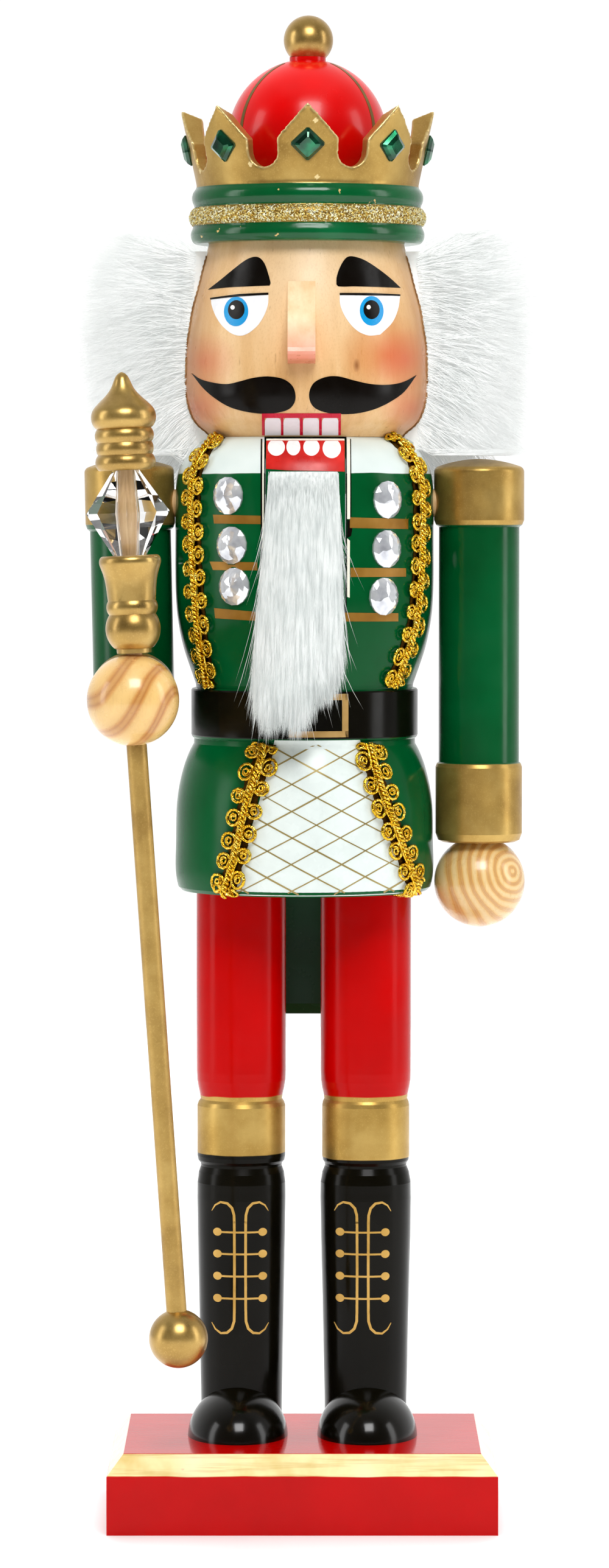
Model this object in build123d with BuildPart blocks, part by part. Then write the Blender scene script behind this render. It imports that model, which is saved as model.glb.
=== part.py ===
# Wooden nutcracker soldier, 381 mm tall, standing on a chamfered base board.
# Units are millimetres, +Z is up, the figure faces -Y, left and right are the figure's own.
import os
from math import atan2, cos, radians, sin, sqrt

from build123d import *

os.makedirs("parts", exist_ok=True)

# ---------------------------------------------------------------- driving dimensions
figure_y = 6.0            # every turned piece of the figure stands on this line
head_x = 0.5              # the stack leans a touch to the figure's left as it goes up
crown_x = 0.8
finial_x = 1.0

base_width, base_depth, base_height = 97.8, 72.0, 20.0
base_x = -0.55
base_chamfer_run, base_chamfer_rise = 4.2, 5.3

leg_x = {"left": 15.65, "right": -16.15}
foot_x = {"left": 16.0, "right": -17.0}
foot_half_width, foot_half_length, foot_centre_y = 12.75, 17.6, -1.9

hem_z, belt_bottom_z, belt_top_z, torso_top_z = 159.0, 198.5, 210.4, 274.2

slot_x0, slot_x1 = -10.05, 10.55         # lever slot through the body
lever_x0, lever_width = -9.65, 19.8
pivot_dy, pivot_z = -10.0, 243.0         # from the figure's line
pin_radius, pin_clearance = 2.0, 0.05
pivot_y = figure_y + pivot_dy

braid_width, braid_thickness = 9.6, 1.8
coat_gem_radius = 4.2
crown_gem_side = 6.0

arm_x = 44.45
shoulder_radius, sleeve_radius, cuff_radius, hand_radius = 11.47, 10.25, 11.03, 11.55
shoulder_top_z, shoulder_bottom_z, cuff_top_z, cuff_bottom_z = 268.7, 252.0, 191.2, 171.2
hand_left_z = 161.0
elbow = (-43.45, figure_y, 209.2)
hand_right = (-42.34, -41.6, 209.04)
hand_right_radius = 11.41

sceptre_y = hand_right[1]
upper_foot, upper_head = (-42.01, sceptre_y, 220.32), (-44.55, sceptre_y, 278.07)
lower_head, lower_foot = (-41.36, sceptre_y, 196.4), (-31.29, sceptre_y, 50.37)
dowel_radius, rod_radius, end_ball_radius = 2.0, 2.52, 7.32

vertical = Axis((0, figure_y, 0), (0, 0, 1))


def upright(x):
    """Half-plane of a piece turned about the vertical line at x: local x is radius, local y is height."""
    return Plane(origin=(x, figure_y, 0), x_dir=(1, 0, 0), z_dir=(0, -1, 0))


def turning(x):
    return Axis((x, figure_y, 0), (0, 0, 1))


def facing(azimuth, x=0.0, lean=0.0, radius=0.0, z=0.0):
    """Plane looking outward from the figure at an azimuth (0 is the front, positive to the left hand)."""
    a, b = radians(azimuth), radians(lean)
    return Plane(
        origin=(x + radius * sin(a), figure_y - radius * cos(a), z),
        x_dir=(cos(a), sin(a), 0),
        z_dir=(sin(a) * cos(b), -cos(a) * cos(b), -sin(b)),
    )


def along(p, q):
    """Plane and axis of a turned piece whose centre line runs from p to q, both at one depth."""
    dx, dz = q[0] - p[0], q[2] - p[2]
    n = sqrt(dx * dx + dz * dz)
    u = (dx / n, 0, dz / n)
    return Plane(origin=p, x_dir=(u[2], 0, -u[0]), z_dir=(0, -1, 0)), Axis(p, u)


upper_plane, upper_axis = along(upper_foot, upper_head)
lower_plane, lower_axis = along(lower_foot, lower_head)

# ---------------------------------------------------------------- base board
with BuildPart() as base:
    with BuildSketch(Plane.XY) as base_outline:
        with Locations((base_x, 0)):
            Rectangle(base_width, base_depth)
    extrude(amount=base_height)
    # the top arris is planed off a little steeper than 45 degrees
    with BuildSketch(Plane.XZ.offset(base_depth / 2 + 1)) as base_side_planes:
        for side in (-1, 1):
            with BuildLine():
                x_edge = base_x + side * base_width / 2
                Polyline(
                    (x_edge, base_height - base_chamfer_rise),
                    (x_edge - side * base_chamfer_run, base_height),
                    (x_edge + side * 2, base_height + 1),
                    (x_edge + side * 2, base_height - base_chamfer_rise),
                    close=True,
                )
            make_face()
    extrude(amount=-(base_depth + 2), mode=Mode.SUBTRACT)
    with BuildSketch(Plane.YZ.offset(base_x - base_width / 2 - 1)) as base_front_planes:
        for side in (-1, 1):
            with BuildLine():
                y_edge = side * base_depth / 2
                Polyline(
                    (y_edge, base_height - base_chamfer_rise),
                    (y_edge - side * base_chamfer_run, base_height),
                    (y_edge + side * 2, base_height + 1),
                    (y_edge + side * 2, base_height - base_chamfer_rise),
                    close=True,
                )
            make_face()
    extrude(amount=base_width + 2, mode=Mode.SUBTRACT)
    # blind holes for the leg dowels
    with BuildSketch(Plane.XY.offset(base_height - 12)) as base_holes:
        with Locations((leg_x["left"], figure_y), (leg_x["right"], figure_y)):
            Circle(4.0)
    extrude(amount=13, mode=Mode.SUBTRACT)

# ---------------------------------------------------------------- legs, each turned in one piece
leg_profile_left = [
    (10.45, base_height), (10.5, 28.0), (10.95, 50.0), (11.45, 70.0), (11.6, 80.0), (11.55, 84.0),
    (11.1, 86.6), (10.45, 88.2), (10.5, 88.9), (11.0, 89.7), (11.15, 90.8), (11.15, 103.7),
    (10.95, 104.7), (10.6, 105.4), (10.8, 106.6), (11.2, 108.4), (11.45, 110.2), (11.53, 112.5), (11.53, hem_z),
]
leg_profile_right = [
    (10.3, base_height), (10.35, 28.0), (10.75, 50.0), (11.15, 70.0), (11.3, 80.0), (11.25, 84.0),
    (10.9, 86.6), (10.35, 88.2), (10.4, 88.9), (11.05, 89.7), (11.25, 90.8), (11.25, 103.7),
    (10.9, 104.7), (10.4, 105.4), (10.6, 106.6), (11.0, 108.4), (11.3, 110.2), (11.4, 112.5), (11.4, hem_z),
]

with BuildPart() as leg_left:
    with BuildSketch(upright(leg_x["left"])) as leg_left_profile:
        with BuildLine():
            Polyline((0, base_height), *leg_profile_left, (0, hem_z), close=True)
        make_face()
    revolve(axis=turning(leg_x["left"]))
    with BuildSketch(Plane.XY.offset(base_height - 1)) as leg_left_foot_hole:
        with Locations((leg_x["left"], figure_y)):
            Circle(4.0)
    extrude(amount=13, mode=Mode.SUBTRACT)
    with BuildSketch(Plane.XY.offset(hem_z - 12)) as leg_left_top_hole:
        with Locations((leg_x["left"], figure_y)):
            Circle(4.0)
    extrude(amount=13, mode=Mode.SUBTRACT)

with BuildPart() as leg_right:
    with BuildSketch(upright(leg_x["right"])) as leg_right_profile:
        with BuildLine():
            Polyline((0, base_height), *leg_profile_right, (0, hem_z), close=True)
        make_face()
    revolve(axis=turning(leg_x["right"]))
    with BuildSketch(Plane.XY.offset(base_height - 1)) as leg_right_foot_hole:
        with Locations((leg_x["right"], figure_y)):
            Circle(4.0)
    extrude(amount=13, mode=Mode.SUBTRACT)
    with BuildSketch(Plane.XY.offset(hem_z - 12)) as leg_right_top_hole:
        with Locations((leg_x["right"], figure_y)):
            Circle(4.0)
    extrude(amount=13, mode=Mode.SUBTRACT)

# ---------------------------------------------------------------- feet: half eggs sawn flat and scooped for the boot
with BuildPart() as foot_left:
    with BuildSketch(Plane(origin=(foot_x["left"], foot_centre_y, 19.7), x_dir=(0, 1, 0), z_dir=(1, 0, 0))) as egg_left:
        Ellipse(foot_half_length, foot_half_width)
        with Locations((0, -foot_half_width)):
            Rectangle(3 * foot_half_length, 2 * foot_half_width, mode=Mode.SUBTRACT)
    revolve(axis=Axis((foot_x["left"], foot_centre_y, 19.7), (0, 1, 0)))
    with BuildSketch(Plane.XY.offset(base_height)) as sole_left:
        with Locations((foot_x["left"], foot_centre_y)):
            Rectangle(60, 60)
    extrude(amount=-30, mode=Mode.SUBTRACT)
    with BuildSketch(Plane.XY.offset(base_height - 1)) as boot_scoop_left:
        with Locations((leg_x["left"], figure_y)):
            Circle(10.6)
        with Locations((leg_x["left"], figure_y + 19)):
            Rectangle(60, 34)
    extrude(amount=20, mode=Mode.SUBTRACT)

with BuildPart() as foot_right:
    with BuildSketch(Plane(origin=(foot_x["right"], foot_centre_y, 19.7), x_dir=(0, 1, 0), z_dir=(1, 0, 0))) as egg_right:
        Ellipse(foot_half_length, foot_half_width)
        with Locations((0, -foot_half_width)):
            Rectangle(3 * foot_half_length, 2 * foot_half_width, mode=Mode.SUBTRACT)
    revolve(axis=Axis((foot_x["right"], foot_centre_y, 19.7), (0, 1, 0)))
    with BuildSketch(Plane.XY.offset(base_height)) as sole_right:
        with Locations((foot_x["right"], foot_centre_y)):
            Rectangle(60, 60)
    extrude(amount=-30, mode=Mode.SUBTRACT)
    with BuildSketch(Plane.XY.offset(base_height - 1)) as boot_scoop_right:
        with Locations((leg_x["right"], figure_y)):
            Circle(10.45)
        with Locations((leg_x["right"], figure_y + 19)):
            Rectangle(60, 34)
    extrude(amount=20, mode=Mode.SUBTRACT)

# ---------------------------------------------------------------- body: skirt, belt and torso turned from one block
skirt_curve = [
    (32.2, 159.9), (32.7, 162.2), (32.8, 170.3), (32.6, 180.2), (31.95, 185.4), (30.9, 189.9), (29.4, 194.1), (28.2, 196.4),
]
torso_curve = [
    (27.7, 211.6), (29.25, 216.0), (30.7, 220.4), (31.7, 224.7), (32.4, 229.2), (32.8, 235.0), (32.9, 244.0),
    (32.9, 254.0), (32.75, 261.0), (31.9, 266.2), (29.6, 270.1), (24.6, torso_top_z),
]


def curve_radius(curve, z):
    for (r0, z0), (r1, z1) in zip(curve, curve[1:]):
        if z <= z1:
            return r0 + (r1 - r0) * max(0.0, min(1.0, (z - z0) / (z1 - z0)))
    return curve[-1][0]


with BuildPart() as body_form:
    with BuildSketch(upright(0)) as body_form_profile:
        with BuildLine():
            Polyline((0, hem_z), (31.3, hem_z), skirt_curve[0])
            Spline(*skirt_curve)
            Polyline(
                skirt_curve[-1], (28.15, 197.7), (28.6, 198.1), (28.85, 198.7), (28.85, 210.0), (28.6, 210.4),
                (27.6, 210.7), torso_curve[0],
            )
            Spline(*torso_curve)
            Polyline(torso_curve[-1], (0, torso_top_z), (0, hem_z))
        make_face()
    revolve(axis=vertical)

jacket_gems_at = [
    # azimuth, height, radius of the jacket there
    (-35.4, 259.4, 32.8), (-33.4, 247.0, 32.9), (-32.1, 236.7, 32.85),
    (39.1, 258.4, 32.8), (38.5, 246.1, 32.9), (37.1, 234.2, 32.75),
]

with BuildPart() as body:
    add(body_form.part)
    # slot for the jaw lever: open at the front, at the top under the head, and down the back to the hem
    with BuildSketch(Plane.YZ.offset(slot_x0)) as slot_profile:
        with BuildLine():
            y, z, r = pivot_y, pivot_z, 25.4
            arc_start = (y + r * cos(radians(200)), z + r * sin(radians(200)))
            arc_middle = (y + r * cos(radians(231)), z + r * sin(radians(231)))
            arc_end = (y + r * cos(radians(262)), z + r * sin(radians(262)))
            ThreePointArc(arc_start, arc_middle, arc_end)
            Polyline(
                arc_end, (figure_y + 11.4, 216.3), (figure_y + 22.2, 203.6), (figure_y + 22.2, 150.0),
                (figure_y + 42.0, 150.0), (figure_y + 42.0, 256.2), (figure_y + 4.0, 268.8), (figure_y + 4.0, 280.0),
                (figure_y - 42.0, 280.0), (figure_y - 42.0, arc_start[1]), arc_start,
            )
        make_face()
    extrude(amount=slot_x1 - slot_x0, mode=Mode.SUBTRACT)
    # hole right through for the steel pivot pin
    with BuildSketch(Plane.YZ.offset(-40)) as pin_hole:
        with Locations((pivot_y, pivot_z)):
            Circle(pin_radius)
    extrude(amount=80, mode=Mode.SUBTRACT)
    # blind holes for the leg, head and shoulder dowels
    with BuildSketch(Plane.XY.offset(hem_z - 1)) as leg_holes:
        with Locations((leg_x["left"], figure_y), (leg_x["right"], figure_y)):
            Circle(4.0)
    extrude(amount=13, mode=Mode.SUBTRACT)
    with BuildSketch(Plane.XY.offset(torso_top_z - 9)) as neck_holes:
        with Locations((18.2, figure_y + 4), (-17.8, figure_y + 4)):
            Circle(3.0)
    extrude(amount=10, mode=Mode.SUBTRACT)
    with BuildSketch(Plane.YZ.offset(23)) as shoulder_hole_left:
        with Locations((figure_y, 257.5)):
            Circle(3.5)
    extrude(amount=12, mode=Mode.SUBTRACT)
    with BuildSketch(Plane.YZ.offset(-23)) as shoulder_hole_right:
        with Locations((figure_y, 257.5)):
            Circle(3.5)
    extrude(amount=-12, mode=Mode.SUBTRACT)
    # flat spots the glass stones are glued to
    for gem_azimuth, gem_z, gem_r in jacket_gems_at:
        with BuildSketch(facing(gem_azimuth, radius=gem_r - 0.3, z=gem_z)) as gem_flat:
            Circle(coat_gem_radius)
        extrude(amount=3, mode=Mode.SUBTRACT)

# ---------------------------------------------------------------- jaw lever: mouth, pivot and tail in one board
with BuildPart() as front_shaving:
    # everything in front of the turned chest, used to round the face of the jaw to match it
    with BuildSketch(upright(0)) as shaving_profile:
        with BuildLine():
            Polyline(torso_curve[-1], (24.6, 280.0), (60.0, 280.0), (60.0, 211.6), torso_curve[0])
            Spline(*torso_curve)
        make_face()
    revolve(axis=vertical)
    with BuildSketch(Plane.XY.offset(200)) as rear_half:
        with Locations((0, figure_y + 60)):
            Rectangle(160, 120)
    extrude(amount=100, mode=Mode.SUBTRACT)

with BuildPart() as jaw_lever:
    with BuildSketch(Plane.YZ.offset(lever_x0)) as lever_profile:
        with BuildLine():
            Polyline(
                (figure_y - 21.5, 273.55), (figure_y - 36.0, 273.55), (figure_y - 36.0, 235.2), (figure_y - 20.0, 225.5),
                (figure_y - 5.0, 221.5), (figure_y + 12.0, 217.5), (figure_y + 22.9, 205.0), (figure_y + 22.9, 160.0),
                (figure_y + 24.5, 127.5), (figure_y + 26.5, 124.7), (figure_y + 32.0, 124.7), (figure_y + 34.2, 127.5),
                (figure_y + 34.4, 160.0), (figure_y + 33.4, 200.0), (figure_y + 33.4, 236.0), (figure_y + 31.0, 240.2),
                (figure_y - 4.5, 272.7), (figure_y - 9.5, 273.45),
            )
            # hollow behind the lower teeth where the nut sits
            ThreePointArc((figure_y - 9.5, 273.45), (figure_y - 15.5, 264.6), (figure_y - 21.5, 273.55))
        make_face()
    extrude(amount=lever_width)
    add(front_shaving.part, mode=Mode.SUBTRACT)
    with BuildSketch(Plane.YZ.offset(lever_x0 - 1)) as lever_bore:
        with Locations((pivot_y, pivot_z)):
            Circle(pin_radius + pin_clearance)
    extrude(amount=lever_width + 2, mode=Mode.SUBTRACT)

with BuildPart() as pivot_pin:
    with BuildSketch(Plane.YZ.offset(-30.4)) as pin_section:
        with Locations((pivot_y, pivot_z)):
            Circle(pin_radius)
    extrude(amount=60.8)

# ---------------------------------------------------------------- beard: a tuft of long white pile on a cloth backing
with BuildPart() as beard:
    with BuildSketch(upright(0)) as beard_section:
        with BuildLine():
            Polyline((33.6, 201.5), (33.6, 265.4), (36.6, 265.4))
            Spline((36.6, 265.4), (39.6, 257.0), (40.8, 243.0), (40.8, 228.0), (39.4, 213.0), (36.2, 201.5))
            Polyline((36.2, 201.5), (33.6, 201.5))
        make_face()
    revolve(axis=vertical)
    with BuildSketch(Plane.XZ.offset(5)) as beard_outline:
        with BuildLine():
            Spline(
                (-8.4, 265.6), (-10.4, 256.0), (-12.0, 244.0), (-12.5, 232.0), (-11.2, 219.0), (-7.4, 205.5), (-4.5, 201.0),
            )
            Polyline((-4.5, 201.0), (2.8, 201.0))
            Spline((2.8, 201.0), (5.6, 205.5), (9.0, 219.0), (10.4, 232.0), (10.4, 244.0), (9.7, 256.0), (8.6, 265.6))
            Polyline((8.6, 265.6), (-8.4, 265.6))
        make_face()
    extrude(amount=60, mode=Mode.INTERSECT)

# ---------------------------------------------------------------- head
head_curve = [
    (24.6, torso_top_z), (25.6, 275.4), (28.0, 277.4), (29.9, 280.4), (30.9, 285.2), (31.05, 290.0), (30.7, 297.2),
    (29.6, 304.5), (27.5, 313.0), (24.8, 323.1),
]
nose_x0, nose_width = -4.2, 6.9
hair_opening = 80.0        # azimuth of the hair's front edges, either side

with BuildPart() as head:
    with BuildSketch(upright(head_x)) as head_profile:
        with BuildLine():
            Polyline((0, torso_top_z), head_curve[0])
            Spline(*head_curve)
            Polyline(head_curve[-1], (0, 323.1), (0, torso_top_z))
        make_face()
    revolve(axis=turning(head_x))
    # mortise for the nose
    with BuildSketch(Plane.YZ.offset(nose_x0)) as nose_mortise:
        with BuildLine():
            Polyline((-15.0, 312.9), (-40.0, 312.9), (-40.0, 292.3), (-15.0, 292.3), close=True)
        make_face()
    extrude(amount=nose_width, mode=Mode.SUBTRACT)
    with BuildSketch(Plane.XY.offset(torso_top_z - 1)) as head_neck_holes:
        with Locations((18.2, figure_y + 4), (-17.8, figure_y + 4)):
            Circle(3.0)
    extrude(amount=10, mode=Mode.SUBTRACT)
    with BuildSketch(Plane.XY.offset(311)) as head_crown_hole:
        with Locations((0.7, figure_y)):
            Circle(4.0)
    extrude(amount=13, mode=Mode.SUBTRACT)

with BuildPart() as nose:
    with BuildSketch(Plane.YZ.offset(nose_x0)) as nose_profile:
        with BuildLine():
            Polyline(
                (-15.0, 312.9), (-21.5, 312.9), (-32.0, 296.2), (-32.4, 295.2), (-31.9, 294.5), (-25.0, 292.3),
                (-15.0, 292.3), close=True,
            )
        make_face()
    extrude(amount=nose_width)

# ---------------------------------------------------------------- hair: a band of long white pile round the sides and back
with BuildPart() as hair:
    with BuildSketch(upright(head_x)) as hair_section:
        with BuildLine():
            Polyline(
                (33.4, 270.3), (31.4, 276.0), (31.4, 291.0), (31.0, 297.2), (29.95, 304.4), (27.85, 313.0), (25.7, 321.0),
                (29.5, 321.8),
            )
            Spline((29.5, 321.8), (38.0, 317.5), (46.0, 307.0), (50.5, 294.0), (51.5, 283.0), (49.5, 274.5), (46.5, 270.3))
            Polyline((46.5, 270.3), (33.4, 270.3))
        make_face()
    revolve(axis=turning(head_x))
    # open at the face
    with BuildSketch(Plane.XY.offset(260)) as face_opening:
        with BuildLine():
            Polyline(
                (head_x, figure_y), (head_x + 90 * sin(radians(hair_opening)), figure_y - 90 * cos(radians(hair_opening))),
                (head_x + 90, figure_y - 110), (head_x - 90, figure_y - 110),
                (head_x - 90 * sin(radians(hair_opening)), figure_y - 90 * cos(radians(hair_opening))), close=True,
            )
        make_face()
    extrude(amount=70, mode=Mode.SUBTRACT)

# ---------------------------------------------------------------- crown: hat band and eight points turned and sawn from one ring
crown_lean = 12.2
notch_radius, notch_centre_z, notch_shoulder_z = 3.85, 345.3, 348.4
crown_gem_planes = [
    facing(45 * k, x=crown_x, lean=crown_lean, radius=29.85, z=346.95) for k in range(8)
]

with BuildPart() as crown:
    with BuildSketch(upright(crown_x)) as crown_profile:
        with BuildLine():
            Polyline((0, 323.1), (28.7, 323.1))
            ThreePointArc((28.7, 323.1), (29.7, 325.0), (28.8, 327.5))
            ThreePointArc((28.8, 327.5), (29.8, 329.8), (28.3, 332.3))
            ThreePointArc((28.3, 332.3), (29.4, 334.9), (28.05, 337.3))
            Polyline(
                (28.05, 337.3), (28.9, 341.5), (32.35, 357.3), (31.8, 357.9), (27.2, 357.9), (26.6, 357.3), (26.2, 346.0),
                (25.4, 341.0), (23.6, 339.0), (0, 339.0),
                (0, 323.1),
            )
        make_face()
    revolve(axis=turning(crown_x))
    for k in range(8):
        with BuildSketch(facing(22.5 + 45 * k, x=crown_x, radius=15.0)) as notch:
            with BuildLine():
                Polyline(
                    (-notch_radius, notch_centre_z), (-notch_radius, notch_shoulder_z), (-15.2, 360.15),
                    (15.2, 360.15), (notch_radius, notch_shoulder_z), (notch_radius, notch_centre_z), close=True,
                )
            make_face()
            with Locations((0, notch_centre_z)):
                Circle(notch_radius)
        extrude(amount=25, mode=Mode.SUBTRACT)
    for gem_plane in crown_gem_planes:
        with BuildSketch(gem_plane) as crown_gem_seat:
            Rectangle(crown_gem_side, crown_gem_side, rotation=45)
        extrude(amount=3, mode=Mode.SUBTRACT)
    with BuildSketch(Plane.XY.offset(322)) as crown_bore:
        with Locations((0.7, figure_y)):
            Circle(4.0)
    extrude(amount=18, mode=Mode.SUBTRACT)

dome_radius, dome_centre_z = 20.25, 349.7

with BuildPart() as crown_dome:
    with BuildSketch(upright(crown_x)) as dome_profile:
        with BuildLine():
            foot_r = sqrt(dome_radius**2 - (dome_centre_z - 339.0) ** 2)
            neck_z = dome_centre_z + sqrt(dome_radius**2 - 4.6**2)
            Polyline((0, 339.0), (foot_r, 339.0))
            ThreePointArc((foot_r, 339.0), (dome_radius, dome_centre_z), (4.6, neck_z))
            Polyline((4.6, neck_z), (4.6, 370.4), (0, 370.4), (0, 339.0))
        make_face()
    revolve(axis=turning(crown_x))
    with BuildSketch(Plane.XY.offset(338)) as dome_bore:
        with Locations((0.7, figure_y)):
            Circle(4.0)
    extrude(amount=9, mode=Mode.SUBTRACT)
    with BuildSketch(Plane.XY.offset(361)) as finial_bore:
        with Locations((finial_x, figure_y)):
            Circle(2.2)
    extrude(amount=12, mode=Mode.SUBTRACT)

with BuildPart() as crown_finial:
    with BuildSketch(upright(finial_x)) as finial_profile:
        with BuildLine():
            finial_foot = sqrt(6.28**2 - (374.74 - 370.4) ** 2)
            Polyline((0, 361.2), (2.2, 361.2), (2.2, 370.4), (finial_foot, 370.4))
            ThreePointArc((finial_foot, 370.4), (6.28, 374.74), (0, 381.02))
            Polyline((0, 381.02), (0, 361.2))
        make_face()
    revolve(axis=turning(finial_x))

with BuildPart() as crown_gems:
    for gem_plane in crown_gem_planes:
        with BuildSketch(gem_plane) as crown_gem_back:
            Rectangle(crown_gem_side, crown_gem_side, rotation=45)
        extrude(amount=0.9)
        with BuildSketch(gem_plane.offset(0.9)) as crown_gem_girdle:
            Rectangle(crown_gem_side, crown_gem_side, rotation=45)
        extrude(amount=1.1, taper=40)

with BuildPart() as jacket_gems:
    for gem_azimuth, gem_z, gem_r in jacket_gems_at:
        with BuildSketch(facing(gem_azimuth, radius=gem_r - 0.3, z=gem_z)) as stone_back:
            Circle(coat_gem_radius)
        extrude(amount=0.9)
        with BuildSketch(facing(gem_azimuth, radius=gem_r + 0.6, z=gem_z)) as stone_girdle:
            Circle(coat_gem_radius)
        extrude(amount=1.3, taper=42)

# ---------------------------------------------------------------- gold gimp braids glued down the coat and the skirt
def braid_outline(path, curve, azimuth):
    """Outline of a braid seen square-on from its azimuth; the path is a list of (azimuth, height)."""
    left, right = [], []
    for n, (a, z) in enumerate(path):
        a0, z0 = path[max(n - 1, 0)]
        a1, z1 = path[min(n + 1, len(path) - 1)]
        r = curve_radius(curve, z)
        slope = r * radians(a1 - a0) / (z1 - z0)
        half = braid_width / 2 * sqrt(1 + slope * slope)
        s = r * sin(radians(a - azimuth))
        left.append((s - half, z))
        right.append((s + half, z))
    return left + right[::-1]


with BuildPart() as braid_stock:
    with BuildSketch(upright(0)) as braid_stock_profile:
        with BuildLine():
            Polyline((0, 158.9), *[(r + braid_thickness, max(z, 158.9)) for r, z in skirt_curve],
                     (28.2 + braid_thickness, 197.6), (0, 197.6), close=True)
        make_face()
        with BuildLine():
            Polyline((0, 211.2), (27.7 + braid_thickness, 211.2), *[(r + braid_thickness, z) for r, z in torso_curve[1:]],
                     (0, torso_top_z), close=True)
        make_face()
    revolve(axis=vertical)
    add(body_form.part, mode=Mode.SUBTRACT)

coat_path = {
    "left": [(52.4, 211.2), (53.4, 215.5), (55.0, 220.4), (57.4, 226.0), (58.8, 235.0), (60.8, 245.0), (60.8, 255.0),
             (60.4, 265.0), (60.0, 270.5), (58.6, 273.9)],
    "right": [(-60.0, 211.2), (-57.4, 215.5), (-55.6, 220.4), (-54.4, 226.0), (-54.6, 235.0), (-56.4, 245.0),
              (-57.1, 255.0), (-57.2, 265.0), (-57.4, 270.5), (-58.6, 273.9)],
}
skirt_path = {
    "left": [(59.4, 159.6), (54.2, 163.8), (48.9, 169.0), (44.1, 175.1), (38.7, 181.2), (35.4, 187.2), (33.9, 192.6),
             (34.0, 197.3)],
    "right": [(-37.6, 159.6), (-34.6, 163.0), (-31.3, 169.0), (-28.9, 175.0), (-26.4, 181.4), (-23.9, 187.0),
              (-20.9, 193.2), (-19.9, 197.3)],
}

with BuildPart() as coat_braid_left:
    add(braid_stock.part)
    with BuildSketch(facing(58.0, radius=15.0)) as coat_braid_left_outline:
        with BuildLine():
            Polyline(*braid_outline(coat_path["left"], torso_curve, 58.0), close=True)
        make_face()
    extrude(amount=30, mode=Mode.INTERSECT)

with BuildPart() as coat_braid_right:
    add(braid_stock.part)
    with BuildSketch(facing(-56.5, radius=15.0)) as coat_braid_right_outline:
        with BuildLine():
            Polyline(*braid_outline(coat_path["right"], torso_curve, -56.5), close=True)
        make_face()
    extrude(amount=30, mode=Mode.INTERSECT)

with BuildPart() as skirt_braid_left:
    add(braid_stock.part)
    with BuildSketch(facing(45.0, radius=15.0)) as skirt_braid_left_outline:
        with BuildLine():
            Polyline(*braid_outline(skirt_path["left"], skirt_curve, 45.0), close=True)
        make_face()
    extrude(amount=30, mode=Mode.INTERSECT)

with BuildPart() as skirt_braid_right:
    add(braid_stock.part)
    with BuildSketch(facing(-28.5, radius=15.0)) as skirt_braid_right_outline:
        with BuildLine():
            Polyline(*braid_outline(skirt_path["right"], skirt_curve, -28.5), close=True)
        make_face()
    extrude(amount=30, mode=Mode.INTERSECT)

# ---------------------------------------------------------------- left arm, hanging straight
with BuildPart() as arm_left:
    with BuildSketch(upright(arm_x)) as arm_left_profile:
        with BuildLine():
            Polyline((0, cuff_bottom_z), (9.3, cuff_bottom_z), (10.4, 171.7), (cuff_radius, 173.4), (cuff_radius, 190.3),
                     (10.7, cuff_top_z), (sleeve_radius, 191.6), (sleeve_radius, 251.4), (11.0, shoulder_bottom_z),
                     (shoulder_radius, 253.2), (shoulder_radius, 265.3))
            ThreePointArc((shoulder_radius, 265.3), (11.16, 266.3), (10.4, 266.85))
            ThreePointArc((10.4, 266.85), (5.6, 268.15), (0.6, shoulder_top_z))
            Polyline((0.6, shoulder_top_z), (0, shoulder_top_z), (0, cuff_bottom_z))
        make_face()
    revolve(axis=turning(arm_x))
    with BuildSketch(Plane.YZ.offset(30)) as arm_left_shoulder_hole:
        with Locations((figure_y, 257.5)):
            Circle(3.5)
    extrude(amount=13, mode=Mode.SUBTRACT)
    with BuildSketch(Plane.XY.offset(cuff_bottom_z - 1)) as arm_left_wrist_hole:
        with Locations((arm_x, figure_y)):
            Circle(2.5)
    extrude(amount=9, mode=Mode.SUBTRACT)

with BuildPart() as hand_left:
    with Locations((arm_x + 0.2, figure_y, hand_left_z)):
        Sphere(hand_radius)
    with BuildSketch(Plane.XY.offset(cuff_bottom_z)) as hand_left_flat:
        with Locations((arm_x, figure_y)):
            Rectangle(40, 40)
    extrude(amount=10, mode=Mode.SUBTRACT)
    with BuildSketch(Plane.XY.offset(cuff_bottom_z - 8)) as hand_left_hole:
        with Locations((arm_x, figure_y)):
            Circle(2.5)
    extrude(amount=9, mode=Mode.SUBTRACT)

# ---------------------------------------------------------------- right arm, mitred at the elbow
upper_arm_plane, upper_arm_axis = along(elbow, (-44.68, figure_y, 268.7))
forearm_run = sqrt((hand_right[0] - elbow[0]) ** 2 + (hand_right[1] - elbow[1]) ** 2)
forearm_direction = ((hand_right[0] - elbow[0]) / forearm_run, (hand_right[1] - elbow[1]) / forearm_run, 0)
forearm_across = Plane(origin=elbow, x_dir=(0, 0, 1), z_dir=forearm_direction)
mitre = Plane(origin=elbow, x_dir=(1, 0, 0), z_dir=(0, 1, 1))

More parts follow.
